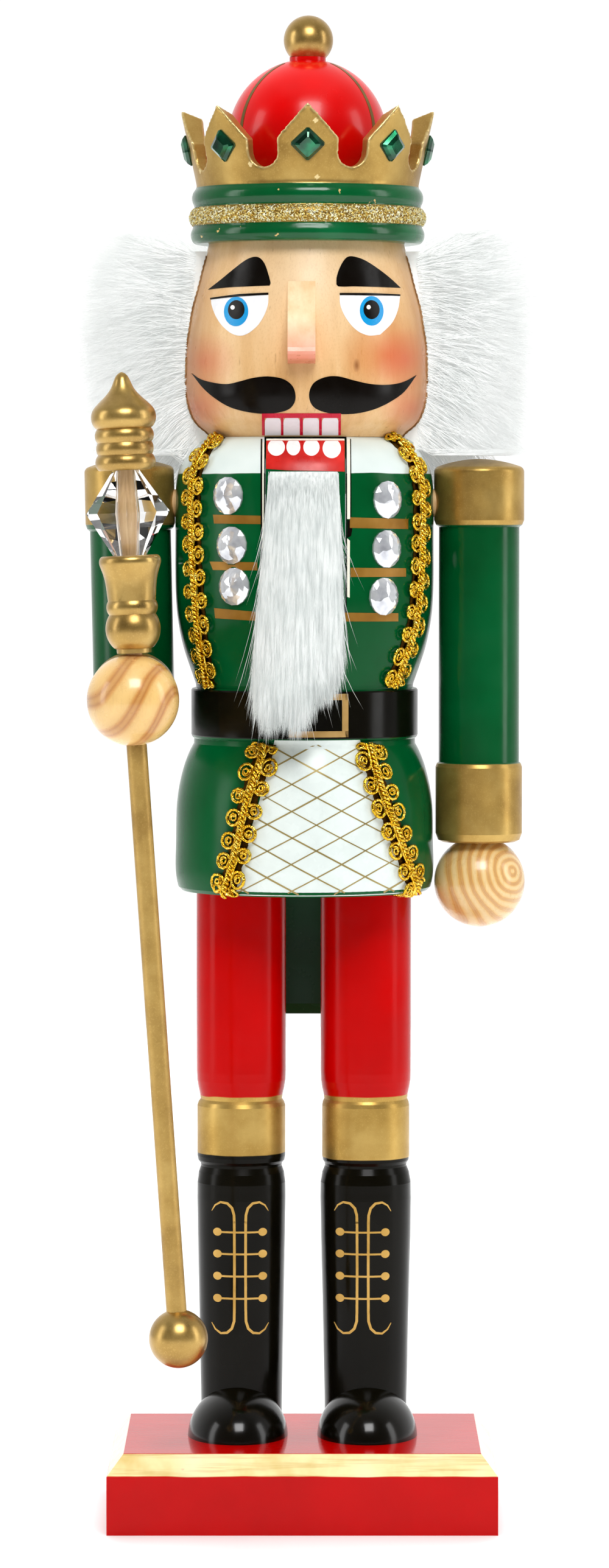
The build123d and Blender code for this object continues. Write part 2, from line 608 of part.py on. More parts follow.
with BuildPart() as arm_right_upper:
    with BuildSketch(upper_arm_plane) as arm_right_upper_profile:
        with BuildLine():
            Polyline((0, -16), (sleeve_radius + 0.05, -16), (sleeve_radius + 0.05, 41.3), (11.0, 41.9),
                     (shoulder_radius - 0.07, 43.1), (shoulder_radius - 0.07, 56.1))
            ThreePointArc((shoulder_radius - 0.07, 56.1), (11.1, 57.1), (10.35, 57.65))
            ThreePointArc((10.35, 57.65), (5.6, 58.95), (0.6, 59.5))
            Polyline((0.6, 59.5), (0, 59.5), (0, -16))
        make_face()
    revolve(axis=upper_arm_axis)
    with BuildSketch(mitre) as upper_mitre_cut:
        Rectangle(80, 80)
    extrude(amount=-40, mode=Mode.SUBTRACT)
    with BuildSketch(mitre.offset(-1)) as upper_elbow_hole:
        Circle(3.0)
    extrude(amount=8, mode=Mode.SUBTRACT)
    with BuildSketch(Plane.YZ.offset(-30)) as arm_right_shoulder_hole:
        with Locations((figure_y, 257.5)):
            Circle(3.5)
    extrude(amount=-13, mode=Mode.SUBTRACT)

with BuildPart() as arm_right_forearm:
    with BuildSketch(forearm_across.offset(-16)) as forearm_sleeve_section:
        Circle(sleeve_radius + 0.05)
    extrude(amount=16 + forearm_run - 30.2)
    with BuildSketch(forearm_across.offset(forearm_run - 30.2)) as forearm_cuff_section:
        Circle(cuff_radius)
    extrude(amount=20.0)
    with BuildSketch(mitre) as forearm_mitre_cut:
        Rectangle(80, 80)
    extrude(amount=40, mode=Mode.SUBTRACT)
    with BuildSketch(mitre.offset(1)) as forearm_elbow_hole:
        Circle(3.0)
    extrude(amount=-8, mode=Mode.SUBTRACT)
    with BuildSketch(forearm_across.offset(forearm_run - 18.2)) as forearm_wrist_hole:
        Circle(2.5)
    extrude(amount=9, mode=Mode.SUBTRACT)

with BuildPart() as hand_right_ball:
    with Locations(hand_right):
        Sphere(hand_right_radius)
    with BuildSketch(forearm_across.offset(forearm_run - 10.2)) as hand_right_flat:
        Rectangle(40, 40)
    extrude(amount=-10, mode=Mode.SUBTRACT)
    with BuildSketch(forearm_across.offset(forearm_run - 11.2)) as hand_right_wrist_hole:
        Circle(2.5)
    extrude(amount=7, mode=Mode.SUBTRACT)
    # one blind hole above for the sceptre's dowel, one below for its rod
    with BuildSketch(upper_plane) as grip_hole_upper:
        with BuildLine():
            Polyline((0, -6.0), (dowel_radius, -6.0), (dowel_radius, 4.0), (0, 4.0), close=True)
        make_face()
    revolve(axis=upper_axis, mode=Mode.SUBTRACT)
    with BuildSketch(lower_plane) as grip_hole_lower:
        with BuildLine():
            Polyline((0, 140.0), (rod_radius, 140.0), (rod_radius, 154.2), (0, 154.2), close=True)
        make_face()
    revolve(axis=lower_axis, mode=Mode.SUBTRACT)

# ---------------------------------------------------------------- sceptre
with BuildPart() as sceptre_dowel:
    with BuildSketch(upper_plane) as sceptre_dowel_profile:
        with BuildLine():
            Polyline((0, -6.0), (dowel_radius, -6.0), (dowel_radius, 52.0), (0, 52.0), close=True)
        make_face()
    revolve(axis=upper_axis)

with BuildPart() as sceptre_rod:
    with BuildSketch(lower_plane) as sceptre_rod_profile:
        with BuildLine():
            Polyline((0, 1.5), (rod_radius, 1.5), (rod_radius, 154.2), (0, 154.2), close=True)
        make_face()
    revolve(axis=lower_axis)

with BuildPart() as sceptre_end_ball:
    with Locations(lower_foot):
        Sphere(end_ball_radius)
    with BuildSketch(lower_plane) as end_ball_hole:
        with BuildLine():
            Polyline((0, 1.5), (rod_radius, 1.5), (rod_radius, 9.0), (0, 9.0), close=True)
        make_face()
    revolve(axis=lower_axis, mode=Mode.SUBTRACT)

with BuildPart() as sceptre_cup:
    with BuildSketch(upper_plane) as sceptre_cup_profile:
        with BuildLine():
            Polyline((dowel_radius, 0.35), (4.25, 0.35), (4.3, 1.4), (4.9, 1.7))
            ThreePointArc((4.9, 1.7), (6.8, 6.0), (5.75, 9.9))
            ThreePointArc((5.75, 9.9), (6.35, 11.6), (5.9, 13.3))
            Spline((5.9, 13.3), (6.1, 15.6), (6.65, 19.4), (7.35, 21.6), (7.65, 22.8), (7.35, 24.0), (6.8, 24.4))
            Polyline((6.8, 24.4), (dowel_radius, 24.4), (dowel_radius, 0.35))
        make_face()
    revolve(axis=upper_axis)

with BuildPart() as sceptre_crystal:
    crystal_levels = [(24.45, 4.1), (35.0, 10.3), (45.4, 3.3)]
    for (t0, r0), (t1, r1) in zip(crystal_levels, crystal_levels[1:]):
        with BuildSketch(
            Plane(origin=upper_axis.position + upper_axis.direction * t0, x_dir=upper_plane.x_dir, z_dir=upper_axis.direction)
        ) as crystal_low:
            RegularPolygon(r0, 8)
        with BuildSketch(
            Plane(origin=upper_axis.position + upper_axis.direction * t1, x_dir=upper_plane.x_dir, z_dir=upper_axis.direction)
        ) as crystal_high:
            RegularPolygon(r1, 8)
        loft(sections=[crystal_low.sketch, crystal_high.sketch], ruled=True)
    with BuildSketch(upper_plane) as crystal_bore:
        with BuildLine():
            Polyline((0, 20.0), (dowel_radius, 20.0), (dowel_radius, 50.0), (0, 50.0), close=True)
        make_face()
    revolve(axis=upper_axis, mode=Mode.SUBTRACT)

with BuildPart() as sceptre_finial:
    with BuildSketch(upper_plane) as sceptre_finial_profile:
        with BuildLine():
            Polyline((0, 45.45), (6.6, 45.45))
            ThreePointArc((6.6, 45.45), (7.45, 47.3), (6.7, 49.3))
            ThreePointArc((6.7, 49.3), (7.1, 50.8), (6.7, 52.3))
            ThreePointArc((6.7, 52.3), (7.3, 54.0), (6.7, 55.7))
            Spline((6.7, 55.7), (7.65, 56.8), (8.03, 58.5), (7.6, 60.3), (6.4, 61.8), (4.5, 63.6), (3.2, 65.1), (2.35, 66.7),
                   (1.4, 68.7), (0, 69.65))
            Polyline((0, 69.65), (0, 45.45))
        make_face()
    revolve(axis=upper_axis)
    with BuildSketch(upper_plane) as finial_dowel_hole:
        with BuildLine():
            Polyline((0, 44.0), (dowel_radius, 44.0), (dowel_radius, 52.0), (0, 52.0), close=True)
        make_face()
    revolve(axis=upper_axis, mode=Mode.SUBTRACT)

# ---------------------------------------------------------------- hidden glue dowels
with BuildPart() as leg_dowels_top:
    with BuildSketch(Plane.XY.offset(hem_z - 12)) as leg_dowels_top_sections:
        with Locations((leg_x["left"], figure_y), (leg_x["right"], figure_y)):
            Circle(4.0)
    extrude(amount=24)

with BuildPart() as leg_dowels_base:
    with BuildSketch(Plane.XY.offset(base_height - 12)) as leg_dowels_base_sections:
        with Locations((leg_x["left"], figure_y), (leg_x["right"], figure_y)):
            Circle(4.0)
    extrude(amount=24)

with BuildPart() as shoulder_dowels:
    with BuildSketch(Plane.YZ.offset(23)) as shoulder_dowel_left:
        with Locations((figure_y, 257.5)):
            Circle(3.5)
    extrude(amount=20)
    with BuildSketch(Plane.YZ.offset(-23)) as shoulder_dowel_right:
        with Locations((figure_y, 257.5)):
            Circle(3.5)
    extrude(amount=-20)

with BuildPart() as head_dowels:
    with BuildSketch(Plane.XY.offset(torso_top_z - 9)) as head_dowel_sections:
        with Locations((18.2, figure_y + 4), (-17.8, figure_y + 4)):
            Circle(3.0)
    extrude(amount=18)

with BuildPart() as crown_dowel:
    with BuildSketch(Plane.XY.offset(311)) as crown_dowel_section:
        with Locations((0.7, figure_y)):
            Circle(4.0)
    extrude(amount=36)

with BuildPart() as wrist_dowels:
    with BuildSketch(Plane.XY.offset(cuff_bottom_z - 8)) as wrist_dowel_left:
        with Locations((arm_x, figure_y)):
            Circle(2.5)
    extrude(amount=16)
    with BuildSketch(forearm_across.offset(forearm_run - 18.2)) as wrist_dowel_right:
        Circle(2.5)
    extrude(amount=14)

with BuildPart() as elbow_dowel:
    with BuildSketch(mitre.offset(-7)) as elbow_dowel_section:
        Circle(3.0)
    extrude(amount=14)

# ---------------------------------------------------------------- export
nodes = {
    "base": base, "foot_left": foot_left, "foot_right": foot_right, "leg_left": leg_left, "leg_right": leg_right,
    "body": body, "jaw_lever": jaw_lever, "pivot_pin": pivot_pin, "beard": beard, "head": head, "nose": nose,
    "hair": hair, "crown": crown, "crown_dome": crown_dome, "crown_finial": crown_finial, "crown_gems": crown_gems,
    "jacket_gems": jacket_gems, "coat_braid_left": coat_braid_left, "coat_braid_right": coat_braid_right,
    "skirt_braid_left": skirt_braid_left, "skirt_braid_right": skirt_braid_right, "arm_left": arm_left,
    "hand_left": hand_left, "arm_right_upper": arm_right_upper, "arm_right_forearm": arm_right_forearm,
    "hand_right": hand_right_ball, "sceptre_dowel": sceptre_dowel, "sceptre_rod": sceptre_rod,
    "sceptre_end_ball": sceptre_end_ball, "sceptre_cup": sceptre_cup, "sceptre_crystal": sceptre_crystal,
    "sceptre_finial": sceptre_finial, "leg_dowels_top": leg_dowels_top, "leg_dowels_base": leg_dowels_base,
    "shoulder_dowels": shoulder_dowels, "head_dowels": head_dowels, "crown_dowel": crown_dowel,
    "wrist_dowels": wrist_dowels, "elbow_dowel": elbow_dowel,
}
for label, node in nodes.items():
    node.part.label = label
    export_step(node.part, "parts/" + label + ".step")
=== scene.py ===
import math
import random

import bpy
import numpy as np
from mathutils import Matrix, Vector
from mathutils.bvhtree import BVHTree
from mathutils.geometry import delaunay_2d_cdt


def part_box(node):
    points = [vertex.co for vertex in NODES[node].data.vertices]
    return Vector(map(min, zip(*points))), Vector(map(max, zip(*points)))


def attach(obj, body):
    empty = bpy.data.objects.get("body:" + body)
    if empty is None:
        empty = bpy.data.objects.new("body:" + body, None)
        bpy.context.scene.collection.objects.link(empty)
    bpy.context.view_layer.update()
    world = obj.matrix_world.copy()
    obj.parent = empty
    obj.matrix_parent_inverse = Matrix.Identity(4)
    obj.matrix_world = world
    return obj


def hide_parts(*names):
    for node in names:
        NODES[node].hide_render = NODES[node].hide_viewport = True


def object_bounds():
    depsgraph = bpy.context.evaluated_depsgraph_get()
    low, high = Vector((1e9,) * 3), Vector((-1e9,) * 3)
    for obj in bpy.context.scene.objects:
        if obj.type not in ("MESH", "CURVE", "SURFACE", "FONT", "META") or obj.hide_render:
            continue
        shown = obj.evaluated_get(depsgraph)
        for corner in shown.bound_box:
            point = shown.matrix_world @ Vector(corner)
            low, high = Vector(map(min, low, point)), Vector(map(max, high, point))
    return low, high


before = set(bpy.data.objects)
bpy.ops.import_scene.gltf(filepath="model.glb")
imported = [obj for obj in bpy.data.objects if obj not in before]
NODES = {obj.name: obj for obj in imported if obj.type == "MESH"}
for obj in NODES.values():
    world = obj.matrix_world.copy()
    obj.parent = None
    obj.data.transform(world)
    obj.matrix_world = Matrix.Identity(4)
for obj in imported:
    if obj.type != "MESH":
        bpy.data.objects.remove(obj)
cad_lo, cad_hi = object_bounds()

MM = 0.001
scene = bpy.context.scene


def centre_of(node):
    lo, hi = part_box(node)
    return (lo + hi) / 2


AXIS_Y = centre_of("head").y            # the axis every turned part shares
HEAD_X = centre_of("head").x
CROWN_X = centre_of("crown").x


# ---------------------------------------------------------------- colours and material building

def lin(r, g, b):
    out = []
    for c in (r, g, b):
        c = c / 255.0
        out.append(c / 12.92 if c <= 0.04045 else ((c + 0.055) / 1.055) ** 2.4)
    return (out[0], out[1], out[2], 1.0)


class Mat:
    """A node material. Texture coordinates are the object's own, which are the shared frame in metres."""

    def __init__(self, name, **const):
        self.m = bpy.data.materials.new(name)
        self.m.use_nodes = True
        self.nt = self.m.node_tree
        self.nt.nodes.clear()
        self.out = self.nt.nodes.new("ShaderNodeOutputMaterial")
        self.b = self.nt.nodes.new("ShaderNodeBsdfPrincipled")
        self.link(self.b.outputs[0], self.out.inputs[0])
        self.co = self.nt.nodes.new("ShaderNodeTexCoord").outputs["Object"]
        self.last_bump = None
        self._xyz = None
        for k, v in const.items():
            self.b.inputs[k.replace("_", " ")].default_value = v

    def link(self, a, b):
        self.nt.links.new(a, b)

    def put(self, socket, value):
        if hasattr(value, "is_output"):
            self.link(value, socket)
        else:
            socket.default_value = value

    def scaled(self, sx, sy, sz, rot=(0, 0, 0), loc=(0, 0, 0)):
        n = self.nt.nodes.new("ShaderNodeMapping")
        self.link(self.co, n.inputs["Vector"])
        n.inputs["Scale"].default_value = (sx, sy, sz)
        n.inputs["Rotation"].default_value = rot
        n.inputs["Location"].default_value = loc
        return n.outputs[0]

    def noise(self, scale, detail=3.0, rough=0.5, vec=None, dist=0.0):
        n = self.nt.nodes.new("ShaderNodeTexNoise")
        self.link(vec or self.co, n.inputs["Vector"])
        n.inputs["Scale"].default_value = scale
        n.inputs["Detail"].default_value = detail
        n.inputs["Roughness"].default_value = rough
        n.inputs["Distortion"].default_value = dist
        return n.outputs[0]

    def voronoi(self, scale, vec=None, feature="F1", out="Distance", rand=1.0):
        n = self.nt.nodes.new("ShaderNodeTexVoronoi")
        n.feature = feature
        self.link(vec or self.co, n.inputs["Vector"])
        n.inputs["Scale"].default_value = scale
        n.inputs["Randomness"].default_value = rand
        return n.outputs[out]

    def wave(self, scale, dist=0.0, detail=2.0, dscale=1.0, vec=None, kind="BANDS", direction="X"):
        n = self.nt.nodes.new("ShaderNodeTexWave")
        n.wave_type = kind
        if kind == "BANDS":
            n.bands_direction = direction
        else:
            n.rings_direction = direction
        self.link(vec or self.co, n.inputs["Vector"])
        n.inputs["Scale"].default_value = scale
        n.inputs["Distortion"].default_value = dist
        n.inputs["Detail"].default_value = detail
        n.inputs["Detail Scale"].default_value = dscale
        return n.outputs["Fac"]

    def xyz(self, i):
        if self._xyz is None:
            n = self.nt.nodes.new("ShaderNodeSeparateXYZ")
            self.link(self.co, n.inputs[0])
            self._xyz = n
        return self._xyz.outputs[i]

    def math(self, op, a, b=0.0, c=0.0, clamp=False):
        n = self.nt.nodes.new("ShaderNodeMath")
        n.operation = op
        n.use_clamp = clamp
        self.put(n.inputs[0], a)
        self.put(n.inputs[1], b)
        self.put(n.inputs[2], c)
        return n.outputs[0]

    def range(self, v, a, b, to0=0.0, to1=1.0):
        n = self.nt.nodes.new("ShaderNodeMapRange")
        n.clamp = True
        self.put(n.inputs["Value"], v)
        n.inputs["From Min"].default_value = a
        n.inputs["From Max"].default_value = b
        n.inputs["To Min"].default_value = to0
        n.inputs["To Max"].default_value = to1
        return n.outputs[0]

    def ramp(self, fac, stops, interp="LINEAR"):
        n = self.nt.nodes.new("ShaderNodeValToRGB")
        n.color_ramp.interpolation = interp
        e = n.color_ramp.elements
        while len(e) > 1:
            e.remove(e[-1])
        e[0].position, e[0].color = stops[0]
        for p, c in stops[1:]:
            el = e.new(p)
            el.color = c
        self.link(fac, n.inputs[0])
        return n.outputs[0]

    def mix(self, fac, a, b, blend="MIX"):
        n = self.nt.nodes.new("ShaderNodeMix")
        n.data_type = "RGBA"
        n.blend_type = blend
        n.clamp_factor = True
        self.put(n.inputs[0], fac)
        self.put(n.inputs[6], a)
        self.put(n.inputs[7], b)
        return n.outputs[2]

    def colour(self, value):
        self.put(self.b.inputs["Base Color"], value)

    def rough(self, value):
        self.put(self.b.inputs["Roughness"], value)

    def metal(self, value):
        self.put(self.b.inputs["Metallic"], value)

    def bump(self, height, dist, strength=1.0):
        n = self.nt.nodes.new("ShaderNodeBump")
        n.inputs["Strength"].default_value = strength
        n.inputs["Distance"].default_value = dist
        self.link(height, n.inputs["Height"])
        if self.last_bump is not None:
            self.link(self.last_bump, n.inputs["Normal"])
        self.last_bump = n.outputs[0]
        self.link(self.last_bump, self.b.inputs["Normal"])
        return self.last_bump

    def above(self, axis, limit_mm, soft_mm=0.12, wob_mm=0.0, wob_scale=90.0):
        """1 above a height (or past an x or y), with a hand-painted wobble."""
        v = self.xyz(axis)
        if wob_mm:
            w = self.noise(wob_scale, 2.0)
            w = self.math("MULTIPLY", self.math("SUBTRACT", w, 0.5), 2.0 * wob_mm * MM)
            v = self.math("ADD", v, w)
        return self.range(v, (limit_mm - soft_mm) * MM, (limit_mm + soft_mm) * MM)


C_GREEN = lin(0, 84, 40)
C_GREEN_D = lin(0, 73, 32)
C_GREEN_L = lin(2, 92, 47)
C_RED = lin(194, 0, 0)
C_RED_D = lin(184, 0, 0)
C_RED_L = lin(202, 0, 1)
C_BLACK = lin(12, 10, 4)
C_BLACK_D = lin(6, 5, 2)
C_GOLD = lin(186, 150, 78)
C_GOLD_D = lin(150, 115, 52)
C_GOLD_L = lin(212, 178, 104)
C_WHITE = lin(226, 236, 232)
C_CREAM = lin(246, 236, 190)


def paint_tones(m, dark, mid, light, scale=38.0):
    """Three close tones of one paint: brushed out thinner in places, with fine specks of dust under it."""
    big = m.noise(scale, 3.0, 0.55)
    tone = m.ramp(big, [(0.30, dark), (0.52, mid), (0.74, light)])
    fine = m.noise(1500.0, 2.0, 0.6)
    dust = m.range(fine, 0.66, 0.74, 0.0, 0.22)
    return m.mix(dust, tone, light)


def gold_tones(m):
    big = m.noise(60.0, 4.0, 0.6)
    tone = m.ramp(big, [(0.28, C_GOLD_D), (0.5, C_GOLD), (0.75, C_GOLD_L)])
    flake = m.noise(2600.0, 1.5, 0.5)
    return m.mix(m.range(flake, 0.55, 0.72, 0.0, 0.35), tone, C_GOLD_L)


def wood_relief(m, strength=0.25):
    """Brush marks and the grain that telegraphs through paint."""
    grain = m.noise(1.0, 3.0, 0.55, vec=m.scaled(420.0, 420.0, 60.0))
    m.bump(grain, 0.00004, strength)
    pools = m.noise(120.0, 2.0, 0.5)
    m.bump(pools, 0.00016, strength)


def gloss_paint(name, dark, mid, light, rough=(0.13, 0.26), coat=0.0, relief=0.25, spec=0.3):
    m = Mat(name, Coat_Weight=coat, Coat_Roughness=0.07, Specular_IOR_Level=spec)
    m.colour(paint_tones(m, dark, mid, light))
    m.rough(m.range(m.noise(70.0, 4.0, 0.6), 0.3, 0.7, rough[0], rough[1]))
    wood_relief(m, relief)
    return m


def gold_paint(name, rough=(0.26, 0.40), metal=0.84, relief=0.4, coat=0.45):
    m = Mat(name, Specular_IOR_Level=0.5, Coat_Weight=coat, Coat_Roughness=0.26)
    m.colour(gold_tones(m))
    m.metal(m.range(m.noise(220.0, 3.0, 0.6), 0.35, 0.65, metal - 0.08, metal + 0.08))
    m.rough(m.range(m.noise(160.0, 4.0, 0.65), 0.3, 0.7, rough[0], rough[1]))
    grain = m.noise(1.0, 3.0, 0.6, vec=m.scaled(600.0, 600.0, 90.0))
    m.bump(grain, 0.00005, relief)
    m.bump(m.noise(900.0, 2.0, 0.6), 0.00003, relief)
    return m


def banded(m, base_cols, bands, gold_metal=0.7, rough_paint=(0.13, 0.26), rough_gold=(0.30, 0.44)):
    """bands: list of (mask, 'gold' or three tones). Later bands lie over earlier ones."""
    col = paint_tones(m, *base_cols)
    metal = None
    for mask, what in bands:
        if what == "gold":
            col = m.mix(mask, col, gold_tones(m))
            metal = mask if metal is None else m.math("MAXIMUM", metal, mask)
        else:
            col = m.mix(mask, col, paint_tones(m, *what))
            if metal is not None:
                metal = m.math("MULTIPLY", metal, m.math("SUBTRACT", 1.0, mask))
    m.colour(col)
    r1 = m.range(m.noise(70.0, 4.0, 0.6), 0.3, 0.7, rough_paint[0], rough_paint[1])
    if metal is None:
        m.rough(r1)
    else:
        r2 = m.range(m.noise(160.0, 4.0, 0.65), 0.3, 0.7, rough_gold[0], rough_gold[1])
        n = m.nt.nodes.new("ShaderNodeMix")
        n.data_type = "FLOAT"
        m.link(metal, n.inputs[0])
        m.link(r1, n.inputs[2])
        m.link(r2, n.inputs[3])
        m.rough(n.outputs[0])
        m.metal(m.math("MULTIPLY", metal, gold_metal))
    wood_relief(m)


GREENS = (C_GREEN_D, C_GREEN, C_GREEN_L)
REDS = (C_RED_D, C_RED, C_RED_L)
BLACKS = (C_BLACK_D, C_BLACK, lin(17, 15, 9))
WHITES = (lin(214, 226, 222), C_WHITE, lin(236, 243, 240))


def band(m, axis, lo_mm, hi_mm, wob=0.12):
    a = m.above(axis, lo_mm, 0.12, wob)
    b = m.above(axis, hi_mm, 0.12, wob)
    return m.math("MULTIPLY", a, m.math("SUBTRACT", 1.0, b))


# --- the body: green coat and skirt, black belt, white shirt
def body_material():
    m = Mat("coat_paint", Specular_IOR_Level=0.14)
    lo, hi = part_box("body")
    shirt = m.above(2, 264.95, 0.1, 0.45, 75.0)
    belt = band(m, 2, 198.45, 210.45, 0.06)
    banded(m, GREENS, [(belt, BLACKS), (shirt, WHITES)])
    return m


def leg_material(name, knee_lo, knee_hi):
    m = Mat(name, Specular_IOR_Level=0.12)
    black = m.math("SUBTRACT", 1.0, m.above(2, knee_lo + 1.0, 0.1, 0.3))
    gold = band(m, 2, knee_lo, knee_hi, 0.4)
    banded(m, REDS, [(black, BLACKS), (gold, "gold")])
    return m


def arm_material(name, bands_mm, axis=2):
    m = Mat(name, Specular_IOR_Level=0.25, Coat_Weight=0.1, Coat_Roughness=0.25)
    b = [(band(m, ax, lo, hi, 0.1), "gold") for ax, lo, hi in bands_mm]
    banded(m, GREENS, b)
    return m


def base_material():
    m = Mat("base_paint_gloss", Specular_IOR_Level=0.16)
    lo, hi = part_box("base")
    top = hi.z / MM
    red = paint_tones(m, *REDS)
    # the chamfer band's gold paint, drawn pale cream: partly a painted reflection of the overhead light
    chamfer_gold_and_reflection = m.ramp(m.noise(55.0, 4.0, 0.6), [(0.25, lin(226, 192, 112)), (0.5, lin(252, 236, 176)), (0.8, lin(255, 246, 205))])
    streak = m.noise(1.0, 3.0, 0.6, vec=m.scaled(40.0, 900.0, 900.0))
    chamfer_gold_and_reflection = m.mix(m.range(streak, 0.5, 0.7, 0.0, 0.5), chamfer_gold_and_reflection, lin(205, 168, 92))
    edge_lo = m.above(2, top - 5.15, 0.1, 0.35, 55.0)
    edge_hi = m.above(2, top - 0.12, 0.05)
    chip = m.range(m.voronoi(70.0), 0.0, 0.11, 1.0, 0.0)
    mask = m.math("MULTIPLY", edge_lo, m.math("SUBTRACT", 1.0, edge_hi))
    mask = m.math("MULTIPLY", mask, m.math("SUBTRACT", 1.0, m.math("MULTIPLY", m.range(chip, 0.4, 0.6), m.math("SUBTRACT", 1.0, m.above(2, top - 3.6, 0.4)))))
    m.colour(m.mix(mask, red, chamfer_gold_and_reflection))
    m.rough(m.range(m.noise(60.0, 4.0, 0.6), 0.3, 0.7, 0.06, 0.14))
    grain = m.noise(1.0, 3.0, 0.6, vec=m.scaled(30.0, 700.0, 500.0))
    m.bump(grain, 0.00004, 0.3)
    m.bump(m.noise(90.0, 2.0), 0.0002, 0.2)
    return m


def crown_material():
    m = Mat("crown_paint_and_gold", Specular_IOR_Level=0.4)
    green = m.math("SUBTRACT", 1.0, m.above(2, 337.35, 0.12, 0.10))
    chips = m.range(m.noise(210.0, 3.0, 0.65), 0.685, 0.70, 0.0, 1.0)
    chips = m.math("MULTIPLY", chips, m.math("SUBTRACT", 1.0, m.above(2, 337.3, 0.3)))
    glit = band(m, 2, 327.6, 332.2, 0.03)
    col = paint_tones(m, C_GREEN_D, C_GREEN, lin(12, 104, 58))
    col = m.mix(m.math("SUBTRACT", 1.0, green), col, gold_tones(m))
    point = m.nt.nodes.new("ShaderNodeNewGeometry").outputs["Pointiness"]
    # convex edges paler gold: partly wear, partly a painted highlight along the edges
    worn_and_lit_edges = m.math("MULTIPLY", m.range(point, 0.515, 0.56, 0.0, 0.85), m.math("SUBTRACT", 1.0, green))
    col = m.mix(worn_and_lit_edges, col, lin(250, 226, 164))
    # painted shade: darker gold in the hollows and inner corners
    hollow_shade = m.math("MULTIPLY", m.range(point, 0.44, 0.49, 0.6, 0.0), m.math("SUBTRACT", 1.0, green))
    col = m.mix(hollow_shade, col, lin(110, 80, 30))
    col = m.mix(chips, col, lin(214, 182, 116))
    col = m.mix(glit, col, lin(150, 118, 50))
    m.colour(col)
    is_gold = m.math("MAXIMUM", m.math("SUBTRACT", 1.0, green), glit)
    m.metal(m.math("MULTIPLY", is_gold, 0.68))
    n = m.nt.nodes.new("ShaderNodeMix")
    n.data_type = "FLOAT"
    m.link(is_gold, n.inputs[0])
    m.link(m.range(m.noise(70.0, 4.0, 0.6), 0.3, 0.7, 0.12, 0.24), n.inputs[2])
    m.link(m.range(m.noise(150.0, 4.0, 0.65), 0.3, 0.7, 0.30, 0.44), n.inputs[3])
    m.rough(n.outputs[0])
    m.bump(m.noise(1.0, 3.0, 0.6, vec=m.scaled(500.0, 500.0, 90.0)), 0.00005, 0.4)
    m.bump(m.noise(110.0, 2.0), 0.00018, 0.3)
    return m


def spot(m, x, z, rx, rz, hard=0.0):
    """A soft round patch seen from the front, 1 at its middle."""
    dx = m.math("MULTIPLY", m.math("SUBTRACT", m.xyz(0), x * MM), 1.0 / (rx * MM))
    dz = m.math("MULTIPLY", m.math("SUBTRACT", m.xyz(2), z * MM), 1.0 / (rz * MM))
    d = m.math("SQRT", m.math("ADD", m.math("MULTIPLY", dx, dx), m.math("MULTIPLY", dz, dz)))
    return m.range(d, hard, 1.0, 1.0, 0.0)


def face_material():
    m = Mat("face_stain", Specular_IOR_Level=0.35)
    wood = m.ramp(m.noise(1.0, 4.0, 0.6, vec=m.scaled(150.0, 150.0, 26.0)),
                  [(0.25, lin(208, 158, 100)), (0.5, lin(226, 182, 126)), (0.78, lin(238, 202, 152))])
    # painted highlight: the middle of the forehead drawn lighter, where the light falls on the face
    fore = spot(m, HEAD_X / MM, 314.0, 24.0, 26.0)
    wood = m.mix(m.math("MULTIPLY", fore, 0.62), wood, lin(247, 222, 184))
    flecks = m.noise(1.0, 3.0, 0.65, vec=m.scaled(900.0, 900.0, 120.0))
    wood = m.mix(m.range(flecks, 0.66, 0.76, 0.0, 0.55), wood, lin(150, 96, 50))
    fine = m.noise(1.0, 2.0, 0.6, vec=m.scaled(2400.0, 2400.0, 1400.0))
    wood = m.mix(m.range(fine, 0.5, 0.75, 0.0, 0.18), wood, lin(176, 120, 66))
    orange = spot(m, 21.0, 294.5, 13.0, 11.0)
    wood = m.mix(m.math("MULTIPLY", orange, 0.9), wood, lin(204, 104, 26))
    for x, z, rx, rz, k in ((-25.6, 293.0, 9.0, 8.0, 0.62), (-27.5, 281.5, 9.5, 8.5, 0.72),
                            (25.5, 293.6, 8.5, 8.0, 0.66), (27.0, 281.5, 9.0, 8.5, 0.66)):
        wood = m.mix(m.math("MULTIPLY", spot(m, x, z, rx, rz), k), wood, lin(214, 84, 66))
    # painted shade: the face darkens towards its sides, where it turns away from the light
    side = m.range(m.math("ABSOLUTE", m.math("SUBTRACT", m.xyz(0), HEAD_X)), 0.0215, 0.0305, 0.0, 0.62)
    wood = m.mix(side, wood, lin(178, 112, 58))
    knot = spot(m, 13.0, 291.9, 1.0, 1.9, 0.2)
    wood = m.mix(m.math("MULTIPLY", knot, 0.7), wood, lin(128, 72, 34))
    m.colour(wood)
    m.rough(m.range(m.noise(1.0, 3.0, 0.6, vec=m.scaled(240.0, 240.0, 60.0)), 0.3, 0.7, 0.24, 0.42))
    m.bump(m.noise(1.0, 3.0, 0.6, vec=m.scaled(900.0, 900.0, 110.0)), 0.00005, 0.35)
    m.bump(m.noise(90.0, 2.0), 0.00015, 0.2)
    return m


def nose_material():
    m = Mat("nose_stain", Specular_IOR_Level=0.4)
    lo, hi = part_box("nose")
    z0, z1 = lo.z, hi.z
    base = m.ramp(m.noise(1.0, 3.0, 0.6, vec=m.scaled(300.0, 300.0, 50.0)),
                  [(0.3, lin(240, 198, 146)), (0.7, lin(253, 228, 188))])
    pink = m.range(m.xyz(2), z0 + 0.0010, z0 + 0.0115, 1.0, 0.0)
    col = m.mix(m.math("MULTIPLY", pink, 0.8), base, lin(240, 128, 116))
    # painted shade: the bottom edge of the nose darker, in the shadow under it
    under = m.range(m.xyz(2), z0 + 0.0006, z0 + 0.0014, 1.0, 0.0)
    col = m.mix(m.math("MULTIPLY", under, 0.5), col, lin(170, 108, 52))
    m.colour(col)
    m.rough(m.range(m.noise(400.0, 3.0), 0.3, 0.7, 0.24, 0.4))
    m.bump(m.noise(1.0, 3.0, 0.6, vec=m.scaled(900.0, 900.0, 120.0)), 0.00005, 0.3)
    return m


